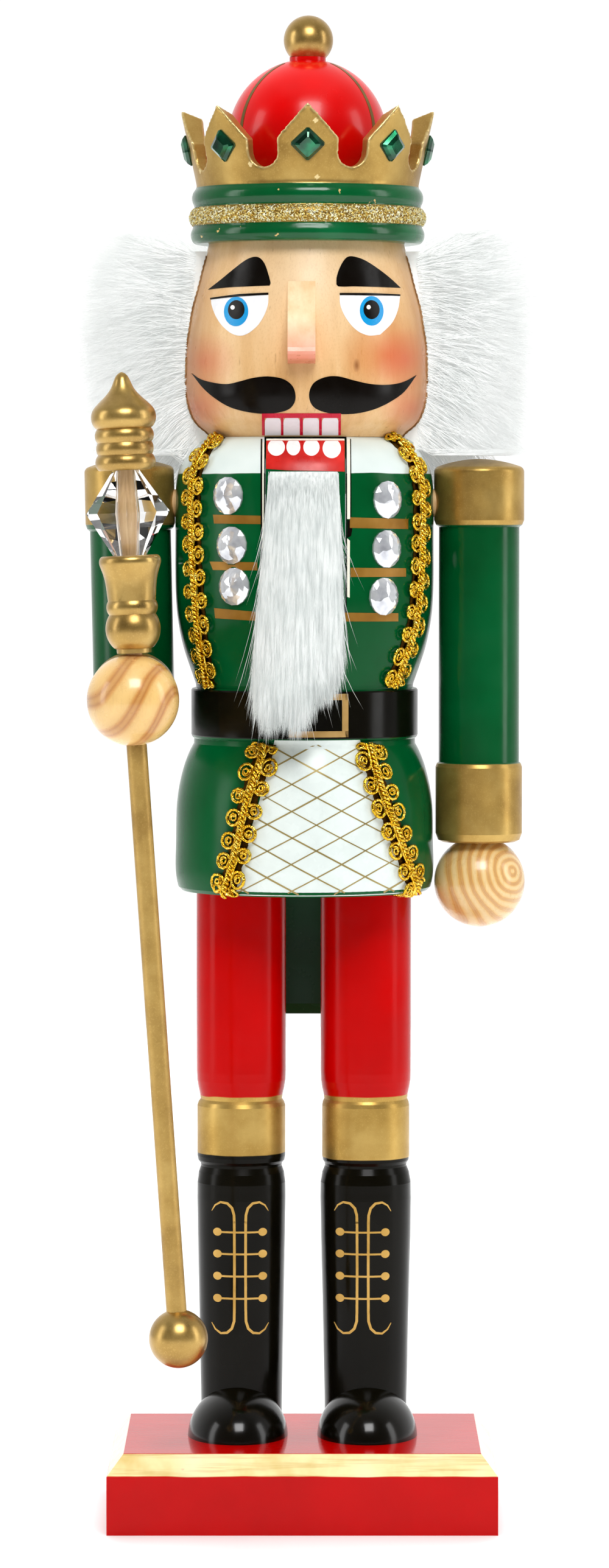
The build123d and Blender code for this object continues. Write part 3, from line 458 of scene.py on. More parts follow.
def turned_wood(name, cx, cy, cz, tilt, ring=330.0, light=(244, 214, 160), dark=(176, 112, 50), off=(0.0, 0.0, 0.0)):
    """Clear lacquered pine: growth rings cut at a slant, so they show as arcs."""
    m = Mat(name, Coat_Weight=0.5, Coat_Roughness=0.12)
    n = m.nt.nodes.new("ShaderNodeMapping")
    n.vector_type = "TEXTURE"
    n.inputs["Location"].default_value = (cx + off[0], cy + off[1], cz + off[2])
    n.inputs["Rotation"].default_value = tilt
    m.link(m.co, n.inputs["Vector"])
    v = n.outputs[0]
    bend = m.noise(60.0, 2.0, 0.5, vec=v)
    w = m.wave(ring, 1.6, 2.0, 0.9, vec=v, kind="RINGS", direction="Z")
    body = m.ramp(w, [(0.0, lin(*light)), (0.55, lin(230, 186, 114)), (0.80, lin(210, 150, 78)), (0.93, lin(*dark)), (1.0, lin(206, 150, 84))])
    fine = m.noise(1.0, 4.0, 0.65, vec=m.scaled(1800.0, 1800.0, 200.0, rot=tilt))
    body = m.mix(m.range(fine, 0.5, 0.75, 0.0, 0.22), body, lin(188, 134, 76))
    body = m.mix(m.range(bend, 0.4, 0.7, 0.0, 0.25), body, lin(250, 226, 178))
    m.colour(body)
    m.rough(m.range(m.noise(300.0, 3.0), 0.3, 0.7, 0.22, 0.36))
    m.bump(fine, 0.00003, 0.25)
    return m


def bare_wood(name):
    m = Mat(name)
    g = m.noise(1.0, 4.0, 0.6, vec=m.scaled(900.0, 900.0, 80.0))
    m.colour(m.ramp(g, [(0.25, lin(196, 150, 96)), (0.5, lin(222, 182, 128)), (0.8, lin(238, 206, 156))]))
    m.rough(m.range(m.noise(500.0, 3.0), 0.3, 0.7, 0.5, 0.7))
    m.bump(g, 0.00006, 0.5)
    return m


def steel():
    m = Mat("pin_steel_drawn", Metallic=1.0)
    m.colour(m.ramp(m.noise(400.0, 3.0), [(0.3, lin(150, 152, 156)), (0.7, lin(200, 202, 206))]))
    m.rough(m.range(m.noise(1.0, 3.0, vec=m.scaled(60.0, 1500.0, 1500.0)), 0.3, 0.7, 0.22, 0.42))
    m.bump(m.noise(1.0, 2.0, vec=m.scaled(80.0, 2500.0, 2500.0)), 0.00002, 0.3)
    return m


def clear_plastic():
    m = Mat("clear_crystal", Transmission_Weight=1.0, IOR=1.40)
    m.colour(m.ramp(m.noise(90.0, 2.0), [(0.3, (0.97, 0.975, 0.97, 1.0)), (0.7, (1.0, 1.0, 1.0, 1.0))]))
    m.rough(m.range(m.noise(350.0, 3.0), 0.4, 0.7, 0.0, 0.03))
    m.bump(m.noise(600.0, 2.0), 0.00002, 0.08)
    return m


# The emission is painted light: a faint glow in the pile, standing in for light scattered between the strands.
def pile_material(name, tint=(246, 247, 245), glow=0.24, streak=(700.0, 700.0, 260.0), shade=(196, 202, 204), k=0.5):
    m = Mat(name, Specular_IOR_Level=0.2, Emission_Color=(0.97, 1.0, 0.98, 1.0), Emission_Strength=glow)
    n = m.noise(140.0, 3.0, 0.6)
    f = m.noise(1.0, 2.0, 0.6, vec=m.scaled(*streak))
    c = m.ramp(n, [(0.25, lin(tint[0] - 14, tint[1] - 12, tint[2] - 12)), (0.55, lin(*tint)), (0.8, lin(min(tint[0] + 6, 255), min(tint[1] + 5, 255), min(tint[2] + 6, 255)))])
    m.colour(m.mix(m.range(f, 0.42, 0.7, 0.0, k), c, lin(*shade)))
    m.rough(m.range(n, 0.3, 0.7, 0.5, 0.7))
    m.bump(f, 0.0001, 0.3)
    return m


def braid_gold(name, dark=False):
    m = Mat(name, Metallic=1.0)
    n = m.noise(900.0, 3.0, 0.7)
    # dark brown: the ground tape's colour, deepened as painted shadow between the loops
    if dark:
        m.colour(m.ramp(n, [(0.3, lin(44, 28, 6)), (0.7, lin(96, 66, 20))]))
        m.rough(m.range(n, 0.3, 0.7, 0.45, 0.65))
    else:
        m.colour(m.ramp(n, [(0.28, lin(176, 124, 16)), (0.5, lin(232, 188, 46)), (0.72, lin(253, 232, 128))]))
        m.rough(m.range(m.noise(1500.0, 2.0, 0.7), 0.3, 0.7, 0.12, 0.30))
    m.bump(m.voronoi(2600.0), 0.00012, 0.6)
    return m


def glitter(name):
    m = Mat(name, Metallic=0.9)
    n = m.noise(1200.0, 2.0, 0.7)
    m.colour(m.ramp(n, [(0.34, lin(206, 164, 66)), (0.48, lin(250, 230, 142)), (0.58, lin(255, 254, 230))]))
    m.rough(m.range(m.noise(2500.0, 2.0), 0.3, 0.7, 0.2, 0.4))
    m.bump(m.noise(4000.0, 1.0), 0.00002, 0.2)
    return m


def gem_green():
    m = Mat("green_stone_facets", Metallic=0.85, Coat_Weight=1.0, Coat_Roughness=0.02)
    n = m.noise(260.0, 2.0, 0.5)
    m.colour(m.ramp(n, [(0.3, lin(0, 44, 27)), (0.5, lin(0, 84, 52)), (0.72, lin(8, 132, 86))]))
    m.rough(m.range(n, 0.3, 0.7, 0.05, 0.14))
    m.bump(m.noise(500.0, 1.0), 0.00001, 0.2)
    return m


def gem_clear():
    m = Mat("clear_stone_facets", Metallic=0.55, Coat_Weight=1.0, Coat_Roughness=0.02)
    n = m.noise(240.0, 2.0, 0.6)
    m.colour(m.ramp(n, [(0.28, lin(196, 198, 206)), (0.5, lin(236, 239, 244)), (0.7, lin(253, 254, 255))]))
    m.rough(m.range(n, 0.3, 0.7, 0.03, 0.10))
    m.bump(m.noise(420.0, 1.0), 0.00001, 0.2)
    return m


def flat_paint(name, mid, spread=8, rough=(0.2, 0.34), coat=0.0, metal=None, relief=0.2, spec=0.3):
    r, g, b = mid
    d = lin(max(r - spread, 0), max(g - spread, 0), max(b - spread, 0))
    l = lin(min(r + spread, 255), min(g + spread, 255), min(b + spread, 255))
    m = Mat(name, Coat_Weight=coat, Coat_Roughness=0.1, Specular_IOR_Level=spec)
    big = m.noise(110.0, 3.0, 0.6)
    m.colour(m.ramp(big, [(0.3, d), (0.5, lin(*mid)), (0.72, l)]))
    m.rough(m.range(m.noise(200.0, 3.0, 0.6), 0.3, 0.7, rough[0], rough[1]))
    if metal:
        m.metal(m.range(m.noise(300.0, 2.0), 0.3, 0.7, metal - 0.1, metal + 0.1))
    m.bump(m.noise(1.0, 3.0, 0.6, vec=m.scaled(420.0, 420.0, 70.0)), 0.00004, relief)
    return m


def lever_material():
    m = Mat("lever_green", Specular_IOR_Level=0.14)
    col = paint_tones(m, *GREENS)
    # painted shade: the tail darker, near black, towards its bottom, where it stands in shadow
    low = m.math("SUBTRACT", 1.0, m.above(2, 158.0, 14.0))
    m.colour(m.mix(m.math("MULTIPLY", low, 0.72), col, lin(14, 22, 10)))
    m.rough(m.range(m.noise(70.0, 4.0, 0.6), 0.3, 0.7, 0.2, 0.34))
    wood_relief(m)
    return m


M_GOLD = gold_paint("gold_paint_satin")
M_ROD = gold_paint("gold_paint_antique", rough=(0.38, 0.55), metal=0.55, relief=0.9, coat=0.1)
M_BODY = body_material()
M_FACE = face_material()
M_NOSE = nose_material()
M_LEVER = lever_material()
M_BLACK = gloss_paint("black_gloss", *BLACKS, rough=(0.12, 0.22), coat=0.0, relief=0.3, spec=0.36)
M_DOME = gloss_paint("dome_red", lin(206, 0, 0), lin(220, 0, 1), lin(230, 1, 2), rough=(0.20, 0.28), coat=0.12, relief=0.15, spec=0.3)
M_STEEL = steel()
M_DOWEL = bare_wood("dowel_bare")
M_CRYSTAL = clear_plastic()
# both piles glow faintly: painted light for the light scattered between the strands
M_PILE = pile_material("white_pile_strands")
M_BEARD = pile_material("beard_pile_strands", (234, 238, 236), glow=0.06, streak=(1500.0, 1500.0, 90.0), shade=(180, 188, 186), k=0.62)
M_BRAID = braid_gold("gimp_gold")
M_BRAID_GROUND_SHADE = braid_gold("gimp_ground_and_shade", dark=True)
M_GLIT = glitter("glitter_flake")
M_GEMG = gem_green()
M_GEMC = gem_clear()
M_WHITE = flat_paint("enamel_white", (242, 242, 244), 5, rough=(0.22, 0.34))
M_TEETH_UP = flat_paint("enamel_lilac_white", (236, 226, 230), 6)
M_TEETH = flat_paint("enamel_tooth_white", (250, 249, 246), 4)
M_FRAME = flat_paint("enamel_crimson", (196, 10, 46), 10)
M_JAWRED = flat_paint("enamel_jaw_red", (212, 34, 26), 20, rough=(0.2, 0.4))
M_INK = flat_paint("enamel_black", (12, 8, 5), 4, rough=(0.16, 0.3), spec=0.14)
M_BLUE = flat_paint("enamel_blue", (4, 150, 214), 8)
M_CREAM = flat_paint("enamel_cream", (246, 240, 222), 8)
M_STRIPE = flat_paint("bronze_line", (150, 106, 34), 14, rough=(0.28, 0.42), metal=0.35)
M_LACING = flat_paint("gold_line", (206, 164, 84), 12, rough=(0.28, 0.42), metal=0.35)
M_LATTICE = flat_paint("lattice_line", (160, 142, 86), 12, rough=(0.3, 0.45), metal=0.3)
M_BUCKLE = flat_paint("buckle_line", (196, 156, 92), 14, rough=(0.28, 0.42), metal=0.4)
M_DOMELINE = flat_paint("dome_line", (120, 92, 38), 12, rough=(0.28, 0.42), metal=0.35)
M_APRON = flat_paint("apron_white", (228, 238, 234), 5, rough=(0.2, 0.34), spec=0.3)
M_STITCH = flat_paint("backing_brown", (150, 112, 72), 30, rough=(0.6, 0.8), coat=0.0, relief=0.8)

arm_l = arm_material("sleeve_left", [(2, 171.0, 191.3), (2, 252.0, 275.0)])
arm_ru = arm_material("sleeve_right", [(2, 252.0, 275.0)])
fore_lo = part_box("arm_right_forearm")[0].y / MM
arm_rf = arm_material("sleeve_forearm", [(1, fore_lo - 1.0, fore_lo + 20.0)])
base_m = base_material()
crown_m = crown_material()
hr = centre_of("hand_right")
hl = centre_of("hand_left")
M_HAND_R = turned_wood("hand_wood_right", hr.x, hr.y, hr.z, (0.9, 0.5, 0.5), ring=46.0, light=(240, 198, 124), dark=(186, 122, 60), off=(0.012, 0.0, -0.010))
M_HAND_L = turned_wood("hand_wood_left", hl.x, hl.y, hl.z, (1.35, 0.15, 0.25), ring=150.0, light=(236, 204, 146), dark=(214, 168, 106), off=(0.006, 0.0, 0.002))

CAD_LOOK = {
    "base": base_m, "foot_left": M_BLACK, "foot_right": M_BLACK,
    "leg_left": leg_material("leg_paint_left", 90.5, 106.5), "leg_right": leg_material("leg_paint_right", 91.7, 106.5),
    "body": M_BODY, "jaw_lever": M_LEVER, "pivot_pin": M_STEEL, "head": M_FACE, "nose": M_NOSE,
    "crown": crown_m, "crown_dome": M_DOME, "crown_finial": M_GOLD,
    "arm_left": arm_l, "arm_right_upper": arm_ru, "arm_right_forearm": arm_rf,
    "hand_left": M_HAND_L, "hand_right": M_HAND_R,
    "sceptre_rod": M_ROD, "sceptre_end_ball": M_GOLD, "sceptre_cup": M_GOLD, "sceptre_finial": M_GOLD,
    "sceptre_crystal": M_CRYSTAL,
}
for name, obj in NODES.items():
    look = CAD_LOOK.get(name, M_DOWEL)
    if len(obj.data.materials) == 0:
        obj.data.materials.append(look.m)
    else:
        for i in range(len(obj.data.materials)):
            obj.data.materials[i] = look.m


# ---------------------------------------------------------------- meshes

def make(name, verts, faces, look, body, angle=40.0, smooth=True):
    me = bpy.data.meshes.new(name)
    me.from_pydata([tuple(v) for v in verts], [], faces)
    me.validate()
    me.update()
    me.materials.append(look.m)
    if smooth:
        me.polygons.foreach_set("use_smooth", [True] * len(me.polygons))
        me.set_sharp_from_angle(angle=math.radians(angle))
    ob = bpy.data.objects.new(name, me)
    scene.collection.objects.link(ob)
    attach(ob, body)
    return ob


def fast_mesh(name, co, tris, look, body, smooth=True):
    """A large triangle mesh from numpy arrays."""
    me = bpy.data.meshes.new(name)
    me.vertices.add(len(co))
    me.vertices.foreach_set("co", np.asarray(co, np.float32).ravel())
    me.loops.add(len(tris) * 3)
    me.loops.foreach_set("vertex_index", np.asarray(tris, np.int32).ravel())
    me.polygons.add(len(tris))
    me.polygons.foreach_set("loop_start", np.arange(0, len(tris) * 3, 3, dtype=np.int32))
    if smooth:
        me.polygons.foreach_set("use_smooth", np.ones(len(tris), bool))
    me.update(calc_edges=True)
    me.materials.append(look.m)
    ob = bpy.data.objects.new(name, me)
    scene.collection.objects.link(ob)
    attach(ob, body)
    return ob


_bvh = {}


def bvh(node):
    if node not in _bvh:
        me = NODES[node].data
        _bvh[node] = BVHTree.FromPolygons([v.co for v in me.vertices], [list(p.vertices) for p in me.polygons])
    return _bvh[node]


def front_hit(node, x, z, y0=-0.2):
    """The first surface of a node straight behind the point (x, z), in millimetres, and its outward normal."""
    loc, nor, idx, d = bvh(node).ray_cast(Vector((x * MM, y0, z * MM)), Vector((0, 1, 0)))
    if loc is None:
        return None, None
    if nor.y > 0:
        nor = -nor
    return loc, nor


def round_hit(node, az, z, cx, r0=0.075):
    """The surface of a node at an azimuth (degrees, 0 at the front) and height (mm), from outside."""
    a = math.radians(az)
    out = Vector((math.sin(a), -math.cos(a), 0.0))
    o = Vector((cx, AXIS_Y, z * MM)) + out * r0
    loc, nor, idx, d = bvh(node).ray_cast(o, -out)
    if loc is None:
        return None, None
    if nor.dot(out) < 0:
        nor = -nor
    return loc, nor


def curvy(pts, corner=50.0, sub=5):
    """A closed outline through the points, rounded between them, with sharp corners kept."""
    n = len(pts)
    P = [Vector(p) for p in pts]
    tang = []
    for i in range(n):
        a, b, c = P[i - 1], P[i], P[(i + 1) % n]
        u, v = (b - a), (c - b)
        if u.length < 1e-6 or v.length < 1e-6 or math.degrees(u.angle(v)) > corner:
            tang.append(None)
        else:
            tang.append((c - a) * 0.5)
    out = []
    for i in range(n):
        j = (i + 1) % n
        p0, p1 = P[i], P[j]
        d = p1 - p0
        t0 = tang[i] if tang[i] is not None else d
        t1 = tang[j] if tang[j] is not None else d
        t0 = t0.normalized() * d.length
        t1 = t1.normalized() * d.length
        for k in range(sub):
            t = k / sub
            h00 = 2 * t ** 3 - 3 * t ** 2 + 1
            h10 = t ** 3 - 2 * t ** 2 + t
            h01 = -2 * t ** 3 + 3 * t ** 2
            h11 = t ** 3 - t ** 2
            out.append(tuple(p0 * h00 + t0 * h10 + p1 * h01 + t1 * h11))
    return out


def ellipse(cx, cz, rx, rz, n=36):
    return [(cx + rx * math.cos(2 * math.pi * i / n), cz + rz * math.sin(2 * math.pi * i / n)) for i in range(n)]


def area2(p):
    return sum(p[i - 1][0] * p[i][1] - p[i][0] * p[i - 1][1] for i in range(len(p)))


def inside(p, poly):
    x, y = p
    r = False
    j = len(poly) - 1
    for i in range(len(poly)):
        xi, yi = poly[i]
        xj, yj = poly[j]
        if (yi > y) != (yj > y) and x < (xj - xi) * (y - yi) / (yj - yi) + xi:
            r = not r
        j = i
    return r


class Build:
    """Collects closed thin shapes that lie on the model's surfaces."""

    def __init__(self):
        self.v = []
        self.f = []

    def add(self, verts, faces):
        k = len(self.v)
        self.v.extend(verts)
        self.f.extend([tuple(i + k for i in f) for f in faces])

    def patch(self, node, outline, top=0.10, low=-0.06, step=1.1, refine=0.8):
        pts = list(outline)
        if area2(pts) < 0:
            pts.reverse()
        edge = []
        for i in range(len(pts)):
            a, b = Vector(pts[i]), Vector(pts[(i + 1) % len(pts)])
            k = max(1, int(math.ceil((b - a).length / refine)))
            for q in range(k):
                edge.append(tuple(a + (b - a) * (q / k)))
        xs, zs = [p[0] for p in edge], [p[1] for p in edge]
        grid = []
        nx = int((max(xs) - min(xs)) / step) + 1
        nz = int((max(zs) - min(zs)) / step) + 1
        for i in range(1, nx):
            for j in range(1, nz):
                p = (min(xs) + i * step, min(zs) + j * step)
                if inside(p, edge) and min((p[0] - e[0]) ** 2 + (p[1] - e[1]) ** 2 for e in edge) > (0.45 * step) ** 2:
                    grid.append(p)
        allp = [Vector(p) for p in edge + grid]
        vs, es, fs, ov, oe, of_ = delaunay_2d_cdt(allp, [], [list(range(len(edge)))], 1, 1e-5)
        hits = []
        for p in vs:
            loc, nor = front_hit(node, p[0], p[1])
            hits.append((loc, nor))
        good = [h[0] for h in hits if h[0] is not None]
        if not good:
            return
        for i, (loc, nor) in enumerate(hits):
            if loc is None:
                q = min(good, key=lambda g: (g.x / MM - vs[i][0]) ** 2 + (g.z / MM - vs[i][1]) ** 2)
                hits[i] = (Vector((vs[i][0] * MM, q.y, vs[i][1] * MM)), Vector((0, -1, 0)))
        n = len(vs)
        tv = [loc + nor * (top * MM) for loc, nor in hits]
        bv = [loc + nor * (low * MM) for loc, nor in hits]
        faces = []
        count = {}
        for f in fs:
            if len(f) < 3:
                continue
            a = area2([tuple(vs[i]) for i in f])
            f = list(f) if a > 0 else list(reversed(f))
            faces.append(tuple(f))
            faces.append(tuple(i + n for i in reversed(f)))
            for i in range(len(f)):
                count[(f[i], f[(i + 1) % len(f)])] = True
        for (a, b) in count:
            if (b, a) not in count:
                faces.append((b, a, a + n, b + n))
        self.add(tv + bv, faces)

    def stroke(self, node, pts, widths, top=0.10, low=-0.06, refine=0.7, hit=None):
        """A painted line of varying width along points (x, z) in millimetres."""
        if not isinstance(widths, (list, tuple)):
            widths = [widths] * len(pts)
        P, W = [], []
        for i in range(len(pts) - 1):
            a, b = Vector(pts[i]), Vector(pts[i + 1])
            k = max(1, int(math.ceil((b - a).length / refine)))
            for q in range(k):
                t = q / k
                P.append(a + (b - a) * t)
                W.append(widths[i] * (1 - t) + widths[i + 1] * t)
        P.append(Vector(pts[-1]))
        W.append(widths[-1])
        L, R = [], []
        for i, p in enumerate(P):
            d = (P[min(i + 1, len(P) - 1)] - P[max(i - 1, 0)]).normalized()
            s = Vector((-d.y, d.x)) * (W[i] / 2)
            L.append(p + s)
            R.append(p - s)
        rows = []
        for l, r in zip(L, R):
            row = []
            for q in (l, r):
                if hit is not None:
                    loc, nor = hit(q[0], q[1])
                else:
                    loc, nor = front_hit(node, q[0], q[1])
                if loc is None:
                    row = None
                    break
                row += [loc + nor * (top * MM), loc + nor * (low * MM)]
            if row:
                rows.append(row)
        if len(rows) < 2:
            return
        verts = [v for row in rows for v in row]      # tl bl tr br
        faces = []
        for i in range(len(rows) - 1):
            a, b = 4 * i, 4 * (i + 1)
            faces += [(a, b, b + 2, a + 2), (a + 1, a + 3, b + 3, b + 1),
                      (a, a + 1, b + 1, b), (a + 2, b + 2, b + 3, a + 3)]
        e = 4 * (len(rows) - 1)
        faces += [(0, 2, 3, 1), (e, e + 1, e + 3, e + 2)]
        self.add(verts, faces)

    def tube(self, path, radius, sides=8, groove=0.0, turns=3, pitch=0.0011, cap=True, up=None):
        """A round cord through 3-D points. groove twists that many strands round it."""
        n = len(path)
        pts = np.array([tuple(p) for p in path], float)
        t = np.gradient(pts, axis=0)
        t /= np.maximum(np.linalg.norm(t, axis=1, keepdims=True), 1e-12)
        s = np.concatenate([[0.0], np.cumsum(np.linalg.norm(np.diff(pts, axis=0), axis=1))])
        rad = np.full(n, radius) if np.isscalar(radius) else np.array(radius, float)
        ref = np.array([0.0, 0.0, 1.0]) if abs(t[0][2]) < 0.9 else np.array([1.0, 0.0, 0.0])
        u = np.cross(t[0], ref)
        u /= np.linalg.norm(u)
        verts = []
        for i in range(n):
            u = u - t[i] * np.dot(u, t[i])
            u /= max(np.linalg.norm(u), 1e-12)
            w = np.cross(t[i], u)
            for k in range(sides):
                a = 2 * math.pi * k / sides
                r = rad[i]
                if groove:
                    r *= 1.0 - groove * (0.5 + 0.5 * math.cos(turns * a - 2 * math.pi * s[i] / pitch))
                verts.append(Vector(pts[i] + (u * math.cos(a) + w * math.sin(a)) * r))
        faces = []
        for i in range(n - 1):
            for k in range(sides):
                a, b = i * sides + k, i * sides + (k + 1) % sides
                faces.append((a, b, b + sides, a + sides))
        faces.append(tuple(reversed(range(sides))))
        faces.append(tuple((n - 1) * sides + k for k in range(sides)))
        self.add(verts, faces)

    def object(self, name, look, body, angle=40.0, smooth=True):
        return make(name, self.v, self.f, look, body, angle, smooth)


def paint_patch(name, node, outline, look, body, top=0.10, **kw):
    b = Build()
    b.patch(node, outline, top=top, **kw)
    return b.object(name, look, body)


# ---------------------------------------------------------------- the face

BROW_R = [(-24.24, 311.24), (-21.06, 313.55), (-17.69, 316.19), (-14.71, 318.33), (-12.71, 319.1), (-11.22, 318.84), (-10.03, 317.48), (-9.14, 315.09), (-8.48, 312.49), (-8.7, 311.82), (-10.62, 311.78), (-14.32, 311.69), (-18.8, 311.59), (-21.81, 311.41)]
BROW_L = [(24.14, 311.63), (21.57, 313.9), (18.2, 316.39), (14.85, 318.38), (11.88, 319.21), (10.4, 318.81), (8.92, 316.56), (8.03, 313.96), (7.95, 312.1), (8.54, 311.59), (12.24, 311.64), (16.69, 311.65), (20.43, 311.61)]
EYE_R = [(-23.46, 308.63), (-23.3, 307.28), (-22.14, 304.24), (-20.26, 301.58), (-17.64, 299.67), (-15.04, 299.48), (-12.08, 301.43), (-10.24, 303.99), (-9.13, 306.94), (-8.99, 309.45), (-16.18, 309.28)]
EYE_L = [(8.76, 309.37), (8.91, 306.93), (10.38, 303.61), (12.96, 300.69), (15.92, 299.4), (18.9, 299.67), (21.9, 302.71), (23.42, 306.11), (23.97, 309.51), (15.94, 309.55)]
MUST_R = [(-28.46, 290.28), (-26.29, 288.78), (-23.26, 287.82), (-19.5, 287.31), (-16.52, 287.86), (-12.82, 288.78), (-9.12, 289.12), (-5.44, 288.51), (-3.24, 287.04), (-2.35, 285.2), (-2.35, 283.01), (-3.61, 281.18), (-6.19, 280.23), (-9.88, 279.88), (-14.31, 280.35), (-18.77, 281.64), (-22.51, 283.89), (-25.53, 286.54)]
MUST_L = [(28.18, 289.77), (24.9, 287.98), (21.13, 287.17), (16.66, 287.26), (12.22, 288.17), (8.53, 289.11), (5.59, 289.02), (2.65, 287.77), (1.4, 285.93), (1.18, 283.74), (2.28, 281.54), (4.86, 280.3), (8.54, 279.8), (12.97, 279.97), (17.42, 281.03), (21.15, 282.76), (24.9, 285.39)]

paint_patch("brow_right", "head", curvy(BROW_R), M_INK, "figure")
paint_patch("brow_left", "head", curvy(BROW_L), M_INK, "figure")
paint_patch("moustache_right", "head", curvy(MUST_R), M_INK, "figure")
paint_patch("moustache_left", "head", curvy(MUST_L), M_INK, "figure")
paint_patch("eye_white_right", "head", curvy(EYE_R, 40), M_WHITE, "figure", top=0.08)
paint_patch("eye_white_left", "head", curvy(EYE_L, 40), M_WHITE, "figure", top=0.08)
for side, ic, pc, hc in (("right", (-17.06, 305.43, 3.05, 3.7), (-16.98, 305.88, 2.08, 2.38), (-17.88, 306.45, 0.52, 0.56)),
                         ("left", (16.75, 305.56, 2.98, 3.71), (16.68, 305.85, 2.01, 2.37), (15.93, 306.45, 0.52, 0.56))):
    paint_patch("iris_" + side, "head", ellipse(*ic), M_BLUE, "figure", top=0.13)
    paint_patch("pupil_" + side, "head", ellipse(*pc), M_INK, "figure", top=0.18)
    paint_patch("eye_light_" + side, "head", ellipse(*hc, n=18), M_TEETH, "figure", top=0.23, step=0.5)
lids = Build()
lids.stroke("head", [(-23.61, 308.87), (-16.18, 309.5), (-8.99, 309.75)], [0.36, 0.6, 0.5], top=0.2)
lids.stroke("head", [(8.76, 309.66), (16.32, 309.71), (23.97, 309.74)], [0.5, 0.6, 0.36], top=0.2)
lids.object("lid_lines", M_INK, "figure")

# mouth: a crimson frame and four teeth on the head
frame_ = Build()
for x0, x1, z0, z1 in ((-10.6, 9.07, 278.85, 279.95), (-10.6, -9.95, 274.6, 279.2), (8.45, 9.07, 274.6, 279.2),
                       (-5.85, -5.27, 274.6, 279.2), (-1.14, -0.4, 274.6, 279.2), (3.65, 4.3, 274.6, 279.2)):
    frame_.patch("head", [(x0, z0), (x1, z0), (x1, z1), (x0, z1)], top=0.16, step=0.9)
frame_.object("mouth_frame", M_FRAME, "figure")
for i, (x0, x1) in enumerate(((-9.88, -5.89), (-5.23, -1.18), (-0.37, 3.62), (4.34, 8.5))):
    r = (x1 - x0) * 0.32
    pts = [(x0, 274.55), (x1, 274.55)]
    pts += [(x1 - r + r * math.cos(a), 279.1 - r + r * math.sin(a)) for a in np.linspace(0, math.pi / 2, 6)]
    pts += [(x0 + r - r * math.cos(a), 279.1 - r + r * math.sin(a)) for a in np.linspace(math.pi / 2, 0, 6)]
    paint_patch("tooth_upper_%d" % (i + 1), "head", pts, M_TEETH_UP, "figure", top=0.11, step=0.9)

# jaw: red panel and four teeth on the lever
paint_patch("jaw_panel", "jaw_lever", [(-9.55, 273.2), (-9.55, 266.1), (-4.0, 265.7), (3.0, 265.6), (10.0, 265.4), (10.0, 273.2)], M_JAWRED, "lever", top=0.08)
for i, (x0, x1, zb) in enumerate(((-9.16, -4.87, 269.3), (-4.5, -1.03, 269.4), (-0.3, 3.76, 269.3), (4.5, 9.09, 268.7))):
    cx, w = (x0 + x1) / 2, (x1 - x0) / 2
    h = 273.1 - zb
    pts = [(cx + w * math.cos(a), min(273.1, zb + h * 0.56 + (h * 0.56) * math.sin(a))) for a in np.linspace(math.pi * 0.73, math.pi * 2.27, 30)]
    paint_patch("tooth_lower_%d" % (i + 1), "jaw_lever", pts, M_TEETH, "lever", top=0.14, step=0.9)
# the jaw's top arris: bare wood drawn pale cream, partly a painted highlight along the edge
edge = Build()
edge.patch("jaw_lever", [(-9.5, 273.12), (10.0, 273.12), (10.0, 273.55), (-9.5, 273.55)], top=0.16, step=0.8)
edge.object("jaw_top_edge_bare_and_lit", M_CREAM, "lever")

# stitched brown edge of the hair's backing
stitch = Build()
hlo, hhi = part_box("hair")
for sgn in (-1, 1):
    path = []
    for i in range(150):
        z = 273.4 + (320.0 - 273.4) * i / 149
        az = sgn * (79.2 + 0.8 * math.sin(i * 0.19) + 0.25 * math.sin(i * 0.77))
        loc, nor = round_hit("head", az, z, HEAD_X)
        if loc is not None:
            path.append(loc + nor * (0.12 * MM))
    stitch.tube(path, 0.32 * MM, sides=7, groove=0.5, turns=2, pitch=0.0014)
stitch.object("hair_backing_edge", M_STITCH, "figure")

# ---------------------------------------------------------------- the coat's painted lines

STRIPES = [[(-22.89, 254.67), (-10.9, 254.42), (-10.9, 252.33), (-22.61, 252.45)], [(-23.74, 242.9), (-11.74, 242.83), (-11.74, 240.79), (-22.9, 240.8)], [(-22.63, 231.25), (-11.47, 230.4), (-11.47, 228.18), (-22.36, 228.7)], [(11.29, 254.04), (26.0, 253.54), (26.0, 251.04), (11.29, 251.39)], [(11.46, 241.46), (25.44, 241.21), (25.45, 239.09), (11.46, 239.14)], [(8.42, 230.31), (23.48, 229.95), (23.49, 227.89), (8.7, 228.09)]]
st = Build()
for s in STRIPES:
    st.patch("body", s, top=0.09)
st.object("coat_lines", M_STRIPE, "figure")

slotline = Build()
slotline.patch("body", [(10.62, 253.6), (11.35, 253.6), (11.35, 273.4), (10.62, 273.4)], top=0.09, step=0.6)
slotline.patch("body", [(10.62, 234.2), (11.25, 234.0), (11.3, 248.2), (10.62, 248.8)], top=0.09, step=0.6)
slotline.patch("body", [(-10.5, 243.0), (-10.12, 243.0), (-10.12, 272.8), (-10.5, 272.8)], top=0.09, step=0.6)
slotline.object("slot_edge_bare", M_CREAM, "figure")
# painted shadow: black strips in the gaps beside the jaw, where the slot lies in shade
slot_shadow = Build()
slot_shadow.patch("body", [(-10.95, 241.0), (-10.55, 241.0), (-10.55, 273.6), (-10.95, 273.6)], top=0.07, step=0.6)
slot_shadow.patch("body", [(10.62, 248.9), (11.6, 249.4), (11.9, 251.0), (11.45, 253.2), (10.62, 253.5)], top=0.08, step=0.6)
slot_shadow.patch("body", [(11.4, 253.0), (11.65, 253.0), (11.65, 273.6), (11.4, 273.6)], top=0.07, step=0.6)
slot_shadow.object("slot_gap_shadow", M_INK, "figure")

